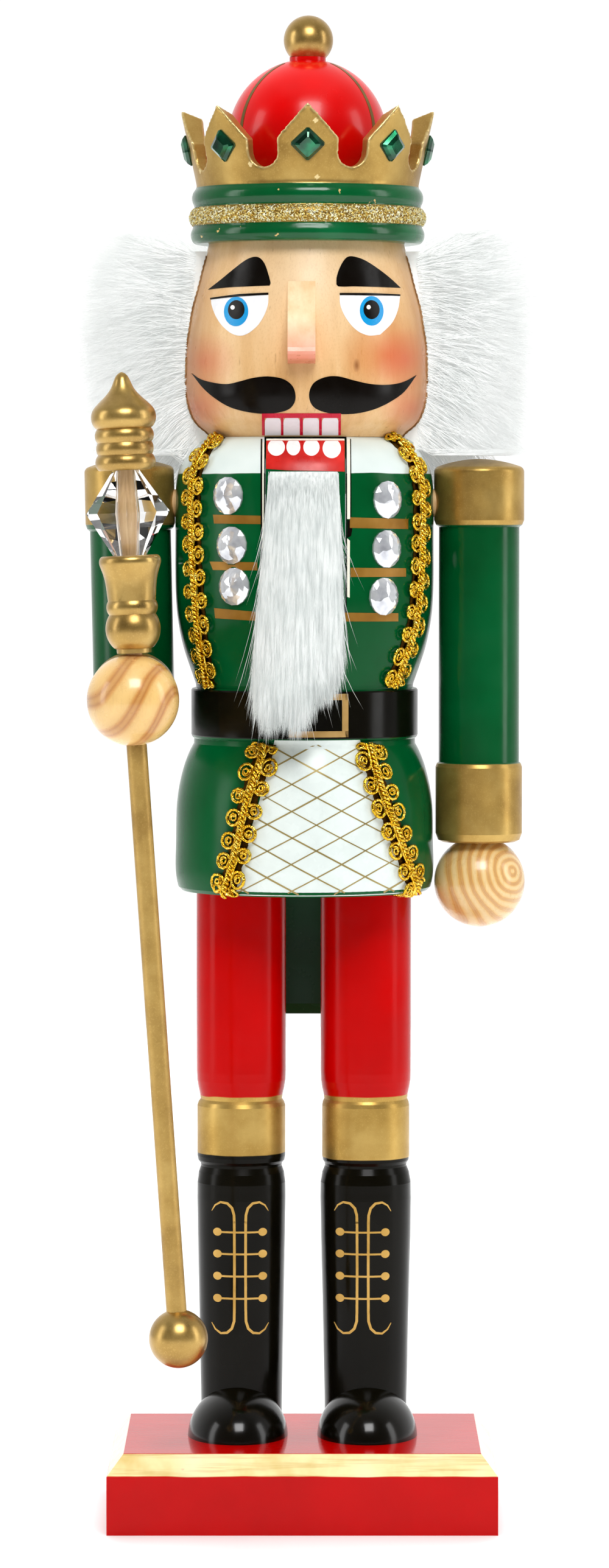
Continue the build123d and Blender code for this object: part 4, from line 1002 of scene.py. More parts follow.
# belt buckle
bk = Build()
x0, x1, z0, z1, w = -3.9, 10.95, 198.95, 209.85, 1.55
for a in ([(x0, z0), (x1, z0), (x1, z0 + w), (x0, z0 + w)], [(x0, z1 - w), (x1, z1 - w), (x1, z1), (x0, z1)],
          [(x0, z0), (x0 + w, z0), (x0 + w, z1), (x0, z1)], [(x1 - w, z0), (x1, z0), (x1, z1), (x1 - w, z1)]):
    bk.patch("body", a, top=0.12, step=0.8)
bk.object("belt_buckle", M_BUCKLE, "figure")

# apron and its lattice
APRON = [(-7.5, 198.2), (-8.8, 192.0), (-11.6, 182.0), (-14.5, 172.0), (-18.0, 159.35), (27.0, 159.35), (23.0, 170.0), (18.8, 181.0), (15.4, 191.0), (13.9, 198.2)]
paint_patch("apron", "body", APRON, M_APRON, "figure", top=0.06, low=-0.04)
APRON_IN = [(-7.1, 197.9), (-8.5, 192.0), (-11.3, 182.0), (-14.2, 172.0), (-17.6, 159.7), (26.6, 159.7), (22.7, 170.0), (18.5, 181.0), (15.1, 191.0), (13.5, 197.9)]
XC, XW, ZP = 2.95, 12.25, 6.65
ZTOP = 197.45
lat = Build()


def clip_line(a, b, poly):
    a, b = Vector(a), Vector(b)
    n = 90
    run = []
    for i in range(n + 1):
        p = a + (b - a) * (i / n)
        if inside(tuple(p), poly):
            run.append(tuple(p))
        elif len(run) > 1:
            break
    return (run[0], run[-1]) if len(run) > 3 else None


rnd = random.Random(5)
for k in range(-9, 10):
    for sg in (-1, 1):
        slope = sg * (ZP / 2) / (XW / 2)
        zc = 190.6 + k * ZP
        a = (XC - 40, zc - slope * 40)
        b = (XC + 40, zc + slope * 40)
        run = clip_line(a, b, APRON_IN)
        if run:
            mid = ((run[0][0] + run[1][0]) / 2 + rnd.uniform(-0.1, 0.1), (run[0][1] + run[1][1]) / 2 + rnd.uniform(-0.15, 0.15))
            w = rnd.uniform(0.26, 0.4)
            lat.stroke("body", [run[0], mid, run[1]], [w, w * 1.1, w], top=0.11)
lat.object("apron_lattice", M_LATTICE, "figure")

# boot lacing
lace = Build()
for node, cx in (("leg_right", -16.4), ("leg_left", 14.8)):
    for s in (-1, 1):
        curl = [(cx + s * 1.44, 74.5), (cx + s * 1.5, 76.6), (cx + s * 2.0, 78.4), (cx + s * 3.2, 79.6), (cx + s * 4.93, 79.85), (cx + s * 6.3, 79.0), (cx + s * 7.16, 77.5)]
        lace.stroke(node, curl, [0.66, 0.66, 0.66, 0.62, 0.52, 0.38, 0.14], refine=0.45)
        lace.stroke(node, [(cx + s * 1.44, 75.0), (cx + s * 1.4, 63.0), (cx + s * 1.44, 51.5)], 0.66)
        curl = [(cx + s * 1.44, 52.0), (cx + s * 1.5, 49.4), (cx + s * 2.1, 47.5), (cx + s * 3.3, 46.4), (cx + s * 4.9, 46.2), (cx + s * 6.3, 47.2), (cx + s * 7.2, 48.8)]
        lace.stroke(node, curl, [0.66, 0.66, 0.66, 0.62, 0.52, 0.38, 0.14], refine=0.45)
    for z in (72.2, 66.6, 60.9, 55.2):
        lace.stroke(node, [(cx - 5.7, z), (cx + 5.7, z)], 0.48, top=0.13)
        for s in (-1, 1):
            lace.patch(node, ellipse(cx + s * 5.7, z, 1.08, 1.02, 20), top=0.15, step=0.6)
lace.object("boot_lacing", M_LACING, "figure")

# dome meridians
dome = Build()
dc = centre_of("crown_dome")
for az in (-56.0, 56.0, 180.0):
    rows = []
    zt = np.linspace(339.0, 369.0, 46)
    L, R = [], []
    def dome_hit(u, v, az=az):
        # u is an arc offset in mm, v is height in mm
        rr = 18.0
        q, w = round_hit("crown_dome", az, v, dc.x)
        if q is None:
            return None, None
        r = math.hypot(q.x - dc.x, q.y - AXIS_Y) / MM
        return round_hit("crown_dome", az + math.degrees(u / max(r, 3.0)), v, dc.x)
    dome.stroke(None, [(0.0, z) for z in np.linspace(338.5, 368.6, 40)], [1.25] * 40, top=0.09, hit=dome_hit)
dome.object("dome_lines", M_DOMELINE, "figure")


# ---------------------------------------------------------------- gimp braid

def smooth_path(az_z, n=400):
    p = np.array(az_z, float)
    d = np.concatenate([[0], np.cumsum(np.hypot(np.diff(p[:, 0]) * 0.55, np.diff(p[:, 1])))])
    t = np.linspace(0, d[-1], n)
    a, z = np.interp(t, d, p[:, 0]), np.interp(t, d, p[:, 1])
    k = np.hanning(31)
    k /= k.sum()
    pad = 15
    ap = np.concatenate([2 * a[0] - a[pad:0:-1], a, 2 * a[-1] - a[-2:-pad - 2:-1]])
    zp = np.concatenate([2 * z[0] - z[pad:0:-1], z, 2 * z[-1] - z[-2:-pad - 2:-1]])
    return np.convolve(ap, k, "valid"), np.convolve(zp, k, "valid")


def braid(name, node, az_z, phase, seed):
    rn = random.Random(seed)
    az, z = smooth_path(az_z)
    P, Nn = [], []
    for a, h in zip(az, z):
        loc, nor = round_hit("body", a, h, 0.0)
        if loc is None:
            continue
        ar = math.radians(a)
        rad = Vector((math.sin(ar), -math.cos(ar), 0.0))
        P.append(np.array(loc))
        Nn.append(np.array((nor * 0.4 + rad * 0.6).normalized()))
    P, Nn = np.array(P), np.array(Nn)
    k = np.ones(9) / 9
    for i in range(3):
        P[4:-4, i] = np.convolve(P[:, i], k, "valid")
        Nn[4:-4, i] = np.convolve(Nn[:, i], k, "valid")
    s = np.concatenate([[0], np.cumsum(np.linalg.norm(np.diff(P, axis=0), axis=1))])
    T = np.gradient(P, axis=0)
    T /= np.linalg.norm(T, axis=1, keepdims=True)
    Nn -= T * np.sum(Nn * T, axis=1, keepdims=True)
    Nn /= np.linalg.norm(Nn, axis=1, keepdims=True)
    S = np.cross(T, Nn)
    L = s[-1]

    def at(d, lat, up):
        d = min(max(d, 0.0), L)
        q = [np.interp(d, s, A[:, i]) for A in (P,) for i in range(3)]
        nn = np.array([np.interp(d, s, Nn[:, i]) for i in range(3)])
        ss = np.array([np.interp(d, s, S[:, i]) for i in range(3)])
        base = np.array(q) + ss * lat
        # follow the curve of the body sideways: find the surface under this point
        o = Vector(base + nn * 0.01)
        loc, nor, idx, dist = bvh("body").ray_cast(o, Vector(-nn), 0.02)
        if loc is not None:
            base = np.array(loc)
        return Vector(base + nn * up)

    pitch = 5.75 * MM
    cords = Build()
    for side in (-1, 1):
        start = (2.5 + (0.0 if side < 0 else 2.9 * phase)) * MM
        nl = int((L - start - 1.6 * MM) / pitch) + 1
        pts = [at(0.2 * MM, side * 0.9 * MM, 0.7 * MM)]
        for j in range(nl):
            dc_ = start + j * pitch + rn.uniform(-0.22, 0.22) * MM
            cl = (2.72 + rn.uniform(-0.16, 0.16)) * MM
            R = (1.86 + rn.uniform(-0.14, 0.12)) * MM
            el = rn.uniform(0.92, 1.1)
            lift = rn.uniform(-0.12, 0.16)
            for q in range(28):
                th = 2 * math.pi * q / 27
                up = 0.72 + 0.42 * (q / 27) + 0.18 * math.sin(th / 2) + lift
                pts.append(at(dc_ + R * el * math.sin(th), side * (cl - R * math.cos(th)), up * MM))
            for q in (0.35, 0.7):
                pts.append(at(dc_ + pitch * q, side * (cl - R * (1.0 + 0.06 * math.sin(q * 3))), (1.14 - 0.4 * q + lift) * MM))
            sp = []
            a0 = rn.uniform(0, 6.28)
            for q in range(30):
                t = q / 29
                r = (1.12 - 0.78 * t) * MM
                a = side * (t * 2 * math.pi * 1.6) + a0
                sp.append(at(dc_ + r * el * math.sin(a), side * cl + r * math.cos(a), (0.86 + 0.42 * t + lift) * MM))
            cords.tube(sp, 0.34 * MM, sides=7, groove=0.3, turns=2, pitch=0.0010)
        cords.tube(pts, 0.48 * MM, sides=8, groove=0.3, turns=2, pitch=0.0012)
    for st_ in (0, 1):
        pts = []
        n = int(L / MM * 3.2)
        for i in range(n + 1):
            d = L * i / n
            th = 2 * math.pi * d / (2.3 * MM) + st_ * math.pi
            pts.append(at(d, 0.52 * math.cos(th) * MM, (1.42 + 0.42 * math.sin(th)) * MM))
        cords.tube(pts, 0.46 * MM, sides=8, groove=0.24, turns=2, pitch=0.0011)
    main = cords.object(name, M_BRAID, "figure", angle=70.0)
    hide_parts(node)
    # the braid's ground tape under the loops, coloured dark brown as painted shadow between them
    tape = Build()
    n = 60
    rows = []
    for i in range(n + 1):
        d = L * i / n
        w = (2.5 + 0.2 * math.sin(i * 1.9)) * MM
        rows.append([at(d, -w, 0.2 * MM), at(d, 0, 0.4 * MM), at(d, w, 0.2 * MM), at(d, w, -0.1 * MM), at(d, 0, -0.1 * MM), at(d, -w, -0.1 * MM)])
    verts = [v for r in rows for v in r]
    faces = []
    for i in range(n):
        for k_ in range(6):
            a, b = i * 6 + k_, i * 6 + (k_ + 1) % 6
            faces.append((a, b, b + 6, a + 6))
    faces.append(tuple(reversed(range(6))))
    faces.append(tuple(n * 6 + k_ for k_ in range(6)))
    tape.add(verts, faces)
    t = tape.object(name + "_ground", M_BRAID_GROUND_SHADE, "figure")
    # fluffed ends
    ends = Build()
    for d0, sg in ((0.0, 1), (L, -1)):
        for q in range(5):
            a0 = rn.uniform(0, 6.28)
            pts = []
            for i in range(16):
                a = a0 + i * 0.42
                pts.append(at(d0 + sg * (0.9 + 0.9 * math.cos(a)) * MM + sg * 0.2 * q * MM, (-2.4 + 1.2 * q + 1.0 * math.sin(a)) * MM, (0.9 + 0.4 * math.sin(i * 0.7 + q)) * MM))
            ends.tube(pts, 0.42 * MM, sides=7, groove=0.26, turns=2, pitch=0.0010)
    e = ends.object(name + "_ends", M_BRAID, "figure", angle=70.0)


COAT_L = [(52.4, 211.2), (53.4, 215.5), (55.0, 220.4), (57.4, 226), (58.8, 235), (60.8, 245), (60.8, 255), (60.4, 265), (60, 270.5), (58.6, 273.9)]
COAT_R = [(-60, 211.2), (-57.4, 215.5), (-55.6, 220.4), (-54.4, 226), (-54.6, 235), (-56.4, 245), (-57.1, 255), (-57.2, 265), (-57.4, 270.5), (-58.6, 273.9)]
SKIRT_L = [(59.4, 159.6), (54.2, 163.8), (48.9, 169), (44.1, 175.1), (38.7, 181.2), (35.4, 187.2), (33.9, 192.6), (34, 197.3)]
SKIRT_R = [(-37.6, 159.6), (-34.6, 163), (-31.3, 169), (-28.9, 175), (-26.4, 181.4), (-23.9, 187), (-20.9, 193.2), (-19.9, 197.3)]
braid("braid_coat_left", "coat_braid_left", COAT_L, 0.9, 11)
braid("braid_coat_right", "coat_braid_right", COAT_R, 1.1, 12)
braid("braid_skirt_left", "skirt_braid_left", SKIRT_L, 0.8, 13)
braid("braid_skirt_right", "skirt_braid_right", SKIRT_R, 1.0, 14)


# ---------------------------------------------------------------- stones

def frame_for(az, cx, z, r, lean=0.0):
    a = math.radians(az)
    out = Vector((math.sin(a), -math.cos(a), 0.0))
    side = Vector((math.cos(a), math.sin(a), 0.0))
    ln = math.radians(lean)
    n = out * math.cos(ln) + Vector((0, 0, -1)) * math.sin(ln)
    up = side.cross(n)
    if up.z < 0:
        up = -up
    o = Vector((cx, AXIS_Y, z * MM)) + out * (r * MM)
    return o, side, up, n


def ring_solid(b, o, side, up, n, rings, top_close=True):
    """rings: list of (height mm, list of (u, v) mm), all of one length, lowest first."""
    m = len(rings[0][1])
    verts, faces = [], []
    for h, pts in rings:
        for u, v in pts:
            verts.append(o + side * (u * MM) + up * (v * MM) + n * (h * MM))
    for i in range(len(rings) - 1):
        for k in range(m):
            a, c = i * m + k, i * m + (k + 1) % m
            faces.append((a, c, c + m, a + m))
    faces.append(tuple(reversed(range(m))))
    faces.append(tuple((len(rings) - 1) * m + k for k in range(m)))
    b.add(verts, faces)


def square_ring(h, half, cut):
    pts = []
    for k in range(4):
        a0 = math.pi / 2 * k
        c, s = math.cos(a0), math.sin(a0)
        for d in (cut, -cut):
            # points either side of a corner at angle a0, on a diamond
            u, v = half - abs(d), d
            pts.append((u * c - (-v) * s, u * s + (-v) * c))
    return (h, pts)


gb = Build()
rg = random.Random(3)
for k in range(8):
    o, side, up, n = frame_for(45.0 * k, CROWN_X, 346.95, 29.85, 12.2)
    D = 4.24
    tw = rg.uniform(-0.07, 0.07)
    s2 = side * math.cos(tw) + up * math.sin(tw)
    u2 = up * math.cos(tw) - side * math.sin(tw)
    ring_solid(gb, o, s2, u2, n, [square_ring(-0.3, D * 0.97, 0.3), square_ring(0.55, D, 0.3), square_ring(1.35, D * 0.80, 0.26), square_ring(1.95, D * 0.50, 0.2)])
g = gb.object("crown_stones", M_GEMG, "figure", smooth=False)
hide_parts("crown_gems")
# the dark foil edge each stone sits in
fb = Build()
for k in range(8):
    o, side, up, n = frame_for(45.0 * k, CROWN_X, 346.95, 29.85, 12.2)
    ring_solid(fb, o, side, up, n, [square_ring(-0.9, 4.5, 0.35), square_ring(0.12, 4.55, 0.35), square_ring(0.2, 4.4, 0.3)])
f = fb.object("crown_stone_seats", flat_paint("stone_glue", (58, 74, 40), 12, rough=(0.2, 0.4)), "figure", smooth=False)

JG = [(-35.4, 259.4, 32.8), (-33.4, 247.0, 32.9), (-32.1, 236.7, 32.85), (39.1, 258.4, 32.8), (38.5, 246.1, 32.9), (37.1, 234.2, 32.75)]
rb = Build()
for gi, (az, z, r) in enumerate(JG):
    o, side, up, n = frame_for(az, 0.0, z, r - 0.3)
    m = 16
    rr = random.Random(40 + gi)
    ph = rr.uniform(0, 1)

    def ring(h, rad, off, jit=0.0):
        return (h, [(rad * math.cos(2 * math.pi * (k + off + ph) / m) * (1 + rr.uniform(-jit, jit)),
                     rad * math.sin(2 * math.pi * (k + off + ph) / m) * (1 + rr.uniform(-jit, jit)) * 1.06) for k in range(m)])
    verts, faces = [], []
    rings = [ring(-0.3, 4.3, 0), ring(0.5, 4.5, 0), ring(0.8, 4.45, 0), ring(1.5, 3.5, 0.5, 0.02), ring(1.95, 2.4, 0.0, 0.04), ring(2.2, 1.3, 0.5, 0.06)]
    for h, pts in rings:
        for u, v in pts:
            verts.append(o + side * (u * MM) + up * (v * MM) + n * (h * MM))
    for i in range(len(rings) - 1):
        tri = i >= 2
        for k in range(m):
            a, c = i * m + k, i * m + (k + 1) % m
            d, e = a + m, c + m
            if not tri:
                faces.append((a, c, e, d))
            elif i % 2 == 0:
                faces += [(a, c, d), (c, e, d)]
            else:
                faces += [(a, c, e), (a, e, d)]
    faces.append(tuple(reversed(range(m))))
    top = [(len(rings) - 1) * m + k for k in range(m)]
    cidx = len(verts)
    verts.append(o + n * (2.5 * MM))
    for k in range(m):
        faces.append((top[k], top[(k + 1) % m], cidx))
    rb.add(verts, faces)
r_ = rb.object("coat_stones", M_GEMC, "figure", smooth=False)
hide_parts("jacket_gems")

# ---------------------------------------------------------------- the crown, its cut edges worn soft

src = bpy.data.objects.new("crown_source", NODES["crown"].data.copy())
scene.collection.objects.link(src)
md = src.modifiers.new("skin", "REMESH")
md.mode = "VOXEL"
md.voxel_size = 0.00042
md.use_smooth_shade = True
sm = src.modifiers.new("soften", "SMOOTH")
sm.factor = 0.5
sm.iterations = 5
dg_ = bpy.context.evaluated_depsgraph_get()
cm_ = bpy.data.meshes.new_from_object(src.evaluated_get(dg_))
bpy.data.objects.remove(src)
cm_.name = "crown_softened"
cm_.materials.clear()
cm_.materials.append(crown_m.m)
cm_.polygons.foreach_set("use_smooth", [True] * len(cm_.polygons))
crown_o = bpy.data.objects.new("crown_softened", cm_)
scene.collection.objects.link(crown_o)
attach(crown_o, "figure")
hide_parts("crown")

# ---------------------------------------------------------------- glitter round the crown

rngn = np.random.default_rng(7)
NF = 8000
azf = rngn.uniform(0, 2 * math.pi, NF)
zf = 327.75 + (332.1 - 327.75) * rngn.uniform(0, 1, NF)
tab = []
for z in np.linspace(327.6, 332.3, 24):
    loc, nor = round_hit("crown", 10.0, float(z), CROWN_X)
    tab.append((z, math.hypot(loc.x - CROWN_X, loc.y - AXIS_Y) / MM))
tab = np.array(tab)
rf = np.interp(zf, tab[:, 0], tab[:, 1]) + rngn.uniform(-0.05, 0.22, NF)
outd = np.stack([np.sin(azf), -np.cos(azf), np.zeros(NF)], 1)
zc = np.array([0, 0, 1.0])
prof = np.clip((zf - 329.93) / 2.6, -1, 1)[:, None]
nrm = outd * np.sqrt(1 - (0.8 * prof) ** 2) + zc * 0.8 * prof
nrm += rngn.normal(0, 0.5, (NF, 3))
nrm /= np.linalg.norm(nrm, axis=1, keepdims=True)
ref = rngn.normal(0, 1, (NF, 3))
uu = np.cross(nrm, ref)
uu /= np.linalg.norm(uu, axis=1, keepdims=True)
vv = np.cross(nrm, uu)
cc = np.array([CROWN_X, AXIS_Y, 0.0]) + outd * (rf * MM)[:, None] + zc * (zf * MM)[:, None]
sz = (rngn.uniform(0.15, 0.31, NF) * MM)[:, None]
th = 0.035 * MM
co = []
hexa = [(math.cos(a), math.sin(a)) for a in np.arange(6) * math.pi / 3]
for sgn in (1, -1):
    for c_, s_ in hexa:
        co.append(cc + uu * sz * c_ + vv * sz * s_ + nrm * th * sgn)
co = np.stack(co, 1).reshape(-1, 3)            # NF x 12
tris = []
for k in range(1, 5):
    tris.append((0, k, k + 1))
    tris.append((6, 6 + k + 1, 6 + k))
for k in range(6):
    a, b = k, (k + 1) % 6
    tris.append((a, a + 6, b + 6))
    tris.append((a, b + 6, b))
tris = np.array(tris)
allt = (tris[None, :, :] + (np.arange(NF) * 12)[:, None, None]).reshape(-1, 3)
gl = fast_mesh("crown_glitter", co, allt, M_GLIT, "figure", smooth=False)


# ---------------------------------------------------------------- pile: hair and beard

def strands(name, path, rad, look, body, soft=None, keep=0.55):
    """path: (n, k+1, 3) metres. Three-sided tapering strands, closed at root and tip.
    soft: the pelt's outward direction at each strand, which the shading leans towards, as dense pile does."""
    n, kk, _ = path.shape
    K = kk - 1
    t = np.zeros_like(path)
    t[:, 1:-1] = path[:, 2:] - path[:, :-2]
    t[:, 0] = path[:, 1] - path[:, 0]
    t[:, -1] = path[:, -1] - path[:, -2]
    t /= np.maximum(np.linalg.norm(t, axis=2, keepdims=True), 1e-12)
    ref = np.tile(np.array([0.21, 0.34, 0.91]), (n, 1))
    u = np.cross(t[:, 0], ref)
    u /= np.maximum(np.linalg.norm(u, axis=1, keepdims=True), 1e-9)
    rings = []
    nrm_ = []
    for k in range(K):
        u = u - t[:, k] * np.sum(u * t[:, k], axis=1, keepdims=True)
        u /= np.maximum(np.linalg.norm(u, axis=1, keepdims=True), 1e-9)
        w = np.cross(t[:, k], u)
        taper = (1.0 - 0.72 * (k / K) ** 1.5)
        for j in range(3):
            a = 2 * math.pi * j / 3
            e_ = u * math.cos(a) + w * math.sin(a)
            rings.append(path[:, k] + e_ * (rad * taper)[:, None])
            nrm_.append(e_ * keep + soft * (1 - keep) if soft is not None else e_)
    rings.append(path[:, K])
    nrm_.append(t[:, K] * 0.3 + soft * 0.7 if soft is not None else t[:, K])
    co = np.stack(rings, 1)
    nn = np.stack(nrm_, 1).reshape(-1, 3)
    nn /= np.maximum(np.linalg.norm(nn, axis=1, keepdims=True), 1e-9)
    V = co.shape[1]
    f = [(0, 2, 1)]
    for k in range(K - 1):
        for j in range(3):
            a, b = 3 * k + j, 3 * k + (j + 1) % 3
            f += [(a, b, b + 3), (a, b + 3, a + 3)]
    for j in range(3):
        a, b = 3 * (K - 1) + j, 3 * (K - 1) + (j + 1) % 3
        f.append((a, b, V - 1))
    f = np.array(f)
    allf = (f[None] + (np.arange(n) * V)[:, None, None]).reshape(-1, 3)
    ob = fast_mesh(name, co.reshape(-1, 3), allf, look, body)
    if soft is not None:
        ob.data.normals_split_custom_set_from_vertices(nn.tolist())
    return ob


def fbm(x, y, seed):
    """Smooth pseudo-random field from a few sines, the same every run."""
    r = np.random.default_rng(seed)
    v = np.zeros_like(x)
    amp = 1.0
    for o in range(6):
        a, b, c = r.uniform(-1, 1, 3)
        f = 0.6 * 1.7 ** o
        v += amp * np.sin(f * (a * x + b * y) * 2.2 + c * 6.28) * np.cos(f * (b * x - a * y) * 1.7 + c * 3.1)
        amp *= 0.72
    return v / 2.2


# hair: an opaque pelt, then the strands
Z0, Z1 = 271.0, 321.2
AZ0 = 81.0


def pelt_r(az, z):
    """Thickness of the pelt from the axis, mm. az in degrees from the front, positive toward +X."""
    t = (z - Z0) / (Z1 - Z0)
    head_r = 29.6 + 2.2 * np.sin(np.pi * np.clip(t * 0.9 + 0.05, 0, 1))
    bulge = 12.5 * np.sin(np.pi * np.clip(t * 0.92 + 0.05, 0, 1)) ** 0.6
    lip = np.clip((np.abs(az) - AZ0) / 20.0, 0, 1) ** 0.8
    wav = 0.9 * fbm(az / 14.0, z / 9.0, 3)
    return head_r + (bulge + wav) * lip


na, nz = 90, 28
A = np.linspace(AZ0, 360 - AZ0, na)
A_s = A
Zs = np.linspace(Z0, Z1, nz)
verts, faces = [], []
for i, a in enumerate(A):
    fold = a if a <= 180 else 360 - a
    for j, z in enumerate(Zs):
        r = float(pelt_r(np.array(fold), np.array(z))) if 0 < i < na - 1 else 30.4
        r = max(r, 30.0)
        ar = math.radians(a)
        verts.append(Vector((HEAD_X + math.sin(ar) * r * MM, AXIS_Y - math.cos(ar) * r * MM, z * MM)))
    for j, z in enumerate(Zs):
        ar = math.radians(a)
        loc, nor = round_hit("head", a, float(z), HEAD_X, 0.06)
        ri = 27.5
        if loc is not None:
            ri = math.hypot(loc.x - HEAD_X, loc.y - AXIS_Y) / MM - 0.5
        verts.append(Vector((HEAD_X + math.sin(ar) * ri * MM, AXIS_Y - math.cos(ar) * ri * MM, z * MM)))
W = 2 * nz
for i in range(na - 1):
    for j in range(nz - 1):
        a = i * W + j
        faces.append((a, a + W, a + W + 1, a + 1))
        b = a + nz
        faces.append((b, b + 1, b + W + 1, b + W))
    a, b = i * W, i * W + nz
    faces.append((a, b, b + W, a + W))
    a, b = i * W + nz - 1, i * W + 2 * nz - 1
    faces.append((a, a + W, b + W, b))
for i, rev in ((0, False), (na - 1, True)):
    for j in range(nz - 1):
        a, b = i * W + j, i * W + nz + j
        q = (a, a + 1, b + 1, b)
        faces.append(tuple(reversed(q)) if rev else q)
pelt = make("hair_pelt", verts, faces, M_PILE, "figure", angle=60)
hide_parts("hair")


def hair_strands(name, n, az_lo, az_hi, seed, lscale=1.0, dense=1.0):
    r = np.random.default_rng(seed)
    q = r.uniform(0, 1, n) ** dense
    az = az_lo + (az_hi - az_lo) * q if az_lo < 180 else az_hi - (az_hi - az_lo) * q      # 0..360 degrees
    t = r.beta(0.95, 0.95, n)
    z = Z0 + 0.4 + (Z1 - Z0 - 0.8) * t
    fold = np.where(az <= 180, az, 360 - az)
    sgn = np.where(az <= 180, 1.0, -1.0)
    rr = np.maximum(pelt_r(fold, z), 30.4) - r.uniform(0.3, 2.2, n)
    ar = np.radians(az)
    out = np.stack([np.sin(ar), -np.cos(ar), np.zeros(n)], 1)
    tan = np.stack([np.cos(ar), np.sin(ar), np.zeros(n)], 1)
    up = np.tile(np.array([0, 0, 1.0]), (n, 1))
    c1 = fbm(az / 10.0, z / 7.0, 21)
    c2 = fbm(az / 10.0 + 9.0, z / 7.0 + 4.0, 22)
    c3 = fbm(az / 3.2, z / 2.4, 23)
    # near the front edge the pile turns forward-out, further back it stands out and falls
    edge = np.clip(1 - (fold - AZ0) / 30.0, 0, 1)
    lift = np.where(t > 0.5, 0.42 * (t - 0.5) * 2, -0.95 * (0.5 - t) * 2) - 0.02
    d = out * 1.0 + up * (lift + 0.34 * c1 + 0.16 * c3 + r.normal(0, 0.15, n))[:, None]
    d += tan * (-sgn * edge * 0.42 + 0.34 * c2 + 0.14 * c3 + r.normal(0, 0.16, n))[:, None]
    d /= np.linalg.norm(d, axis=1, keepdims=True)
    reach = 58.0 + 2.5 * c1 - 3.5 * np.clip((0.22 - t) / 0.22, 0, 1) - 1.5 * np.clip((t - 0.85) / 0.15, 0, 1)
    ln = (reach - rr) * (0.62 + 0.52 * r.uniform(0, 1, n)) * lscale
    ln = np.clip(ln, 5.0, 25.0)
    K = 4
    P = np.zeros((n, K + 1, 3))
    root = np.array([HEAD_X, AXIS_Y, 0.0]) + out * (rr * MM)[:, None] + up * (z * MM)[:, None]
    P[:, 0] = root
    droop = np.stack([np.zeros(n), np.zeros(n), -np.ones(n)], 1) * (0.16 + 0.30 * r.uniform(0, 1, n) + 0.12 * c1)[:, None] * (1.0 - 0.75 * np.clip((t - 0.6) / 0.3, 0, 1))[:, None]
    curl = (tan * r.normal(0, 0.22, n)[:, None] + up * r.normal(0, 0.20, n)[:, None])
    for k in range(1, K + 1):
        f = k / K
        dd = d + droop * (f ** 1.4) + curl * f
        dd /= np.linalg.norm(dd, axis=1, keepdims=True)
        P[:, k] = P[:, k - 1] + dd * (ln / K * MM)[:, None]
    P[:, :, 2] = np.minimum(P[:, :, 2], 0.3262)
    # the pile rests on the shoulder caps
    over = (np.abs(P[:, :, 0]) > 31 * MM) & (P[:, :, 1] < 19 * MM)
    P[:, :, 2] = np.where(over, np.maximum(P[:, :, 2], (269.5 + r.uniform(0.1, 1.6, n)[:, None]) * MM), P[:, :, 2])
    rad = r.uniform(0.06, 0.115, n) * MM
    ob = strands(name, P, rad, M_PILE, "figure", soft=out * 0.8 + up * 0.35 + np.array([0.0, -1.0, 0.0]) * (0.25 + 1.0 * edge)[:, None], keep=0.4)
    return ob


hair_strands("hair_strands_left", 9000, AZ0 - 0.6, 118.0, 101, dense=1.7)
hair_strands("hair_strands_right", 9000, 242.0, 360 - AZ0 + 0.6, 102, dense=1.7)
hair_strands("hair_fill_left", 9000, AZ0 + 6.0, 100.0, 105, lscale=1.0, dense=1.2)
hair_strands("hair_fill_right", 9000, 260.0, 360 - AZ0 - 6.0, 106, lscale=1.0, dense=1.2)
hair_strands("hair_strands_back_left", 9000, 112.0, 182.0, 103)
hair_strands("hair_strands_back_right", 9000, 178.0, 248.0, 104)

# beard: pelt and strands hanging from the jaw
BX = [(265.7, -9.2, 8.7), (255.3, -9.8, 9.2), (241.5, -11.1, 9.8), (230.5, -12.5, 10.05), (219.5, -12.8, 9.2), (213.0, -12.9, 7.6), (207.0, -13.0, 5.2), (202.0, -12.6, 2.6)]
BX = np.array(BX)[::-1]
blo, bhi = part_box("beard")


def beard_edge(z):
    return np.interp(z, BX[:, 0], BX[:, 1]), np.interp(z, BX[:, 0], BX[:, 2])


def beard_y(x, z, out=0.0):
    """Front skin of the pelt, mm: thin at the top where it is glued on, full in the middle."""
    l, r = beard_edge(z)
    u = np.clip((2 * x - (l + r)) / (r - l), -1, 1)
    full = np.interp(z, [200, 206, 215, 235, 255, 262, 265.5], [2.2, 3.0, 4.2, 4.8, 4.2, 3.0, 1.4])
    base = np.interp(z, [200, 215, 240, 265.5], [-31.2, -30.2, -28.6, -27.7])
    return base - full * np.sqrt(np.clip(1 - (u * 0.94) ** 2, 0, 1)) - out


nx, nzb = 18, 40
zs = np.linspace(217.0, 265.4, nzb)
us = np.linspace(-1, 1, nx)
verts, faces = [], []
for z in zs:
    l, r = beard_edge(z)
    for u in us:
        x = (l + r) / 2 + u * (r - l) / 2 * 0.93
        verts.append(Vector((x * MM, float(beard_y(x, z, -0.9)) * MM, z * MM)))
    for u in us:
        x = (l + r) / 2 + u * (r - l) / 2 * 0.93
        yb = float(np.interp(z, [200, 215, 240, 265.5], [-30.9, -29.9, -28.4, -27.62]))
        verts.append(Vector((x * MM, yb * MM, z * MM)))
W = 2 * nx
for i in range(nzb - 1):
    for j in range(nx - 1):
        a = i * W + j
        faces.append((a, a + 1, a + W + 1, a + W))
        b = a + nx
        faces.append((b, b + W, b + W + 1, b + 1))
    a, b = i * W, i * W + nx
    faces.append((a, a + W, b + W, b))
    a, b = i * W + nx - 1, i * W + 2 * nx - 1
    faces.append((a, b, b + W, a + W))
for i, rev in ((0, False), (nzb - 1, True)):
    for j in range(nx - 1):
        a, b = i * W + j, i * W + nx + j
        q = (a, b, b + 1, a + 1)
        faces.append(tuple(reversed(q)) if rev else q)
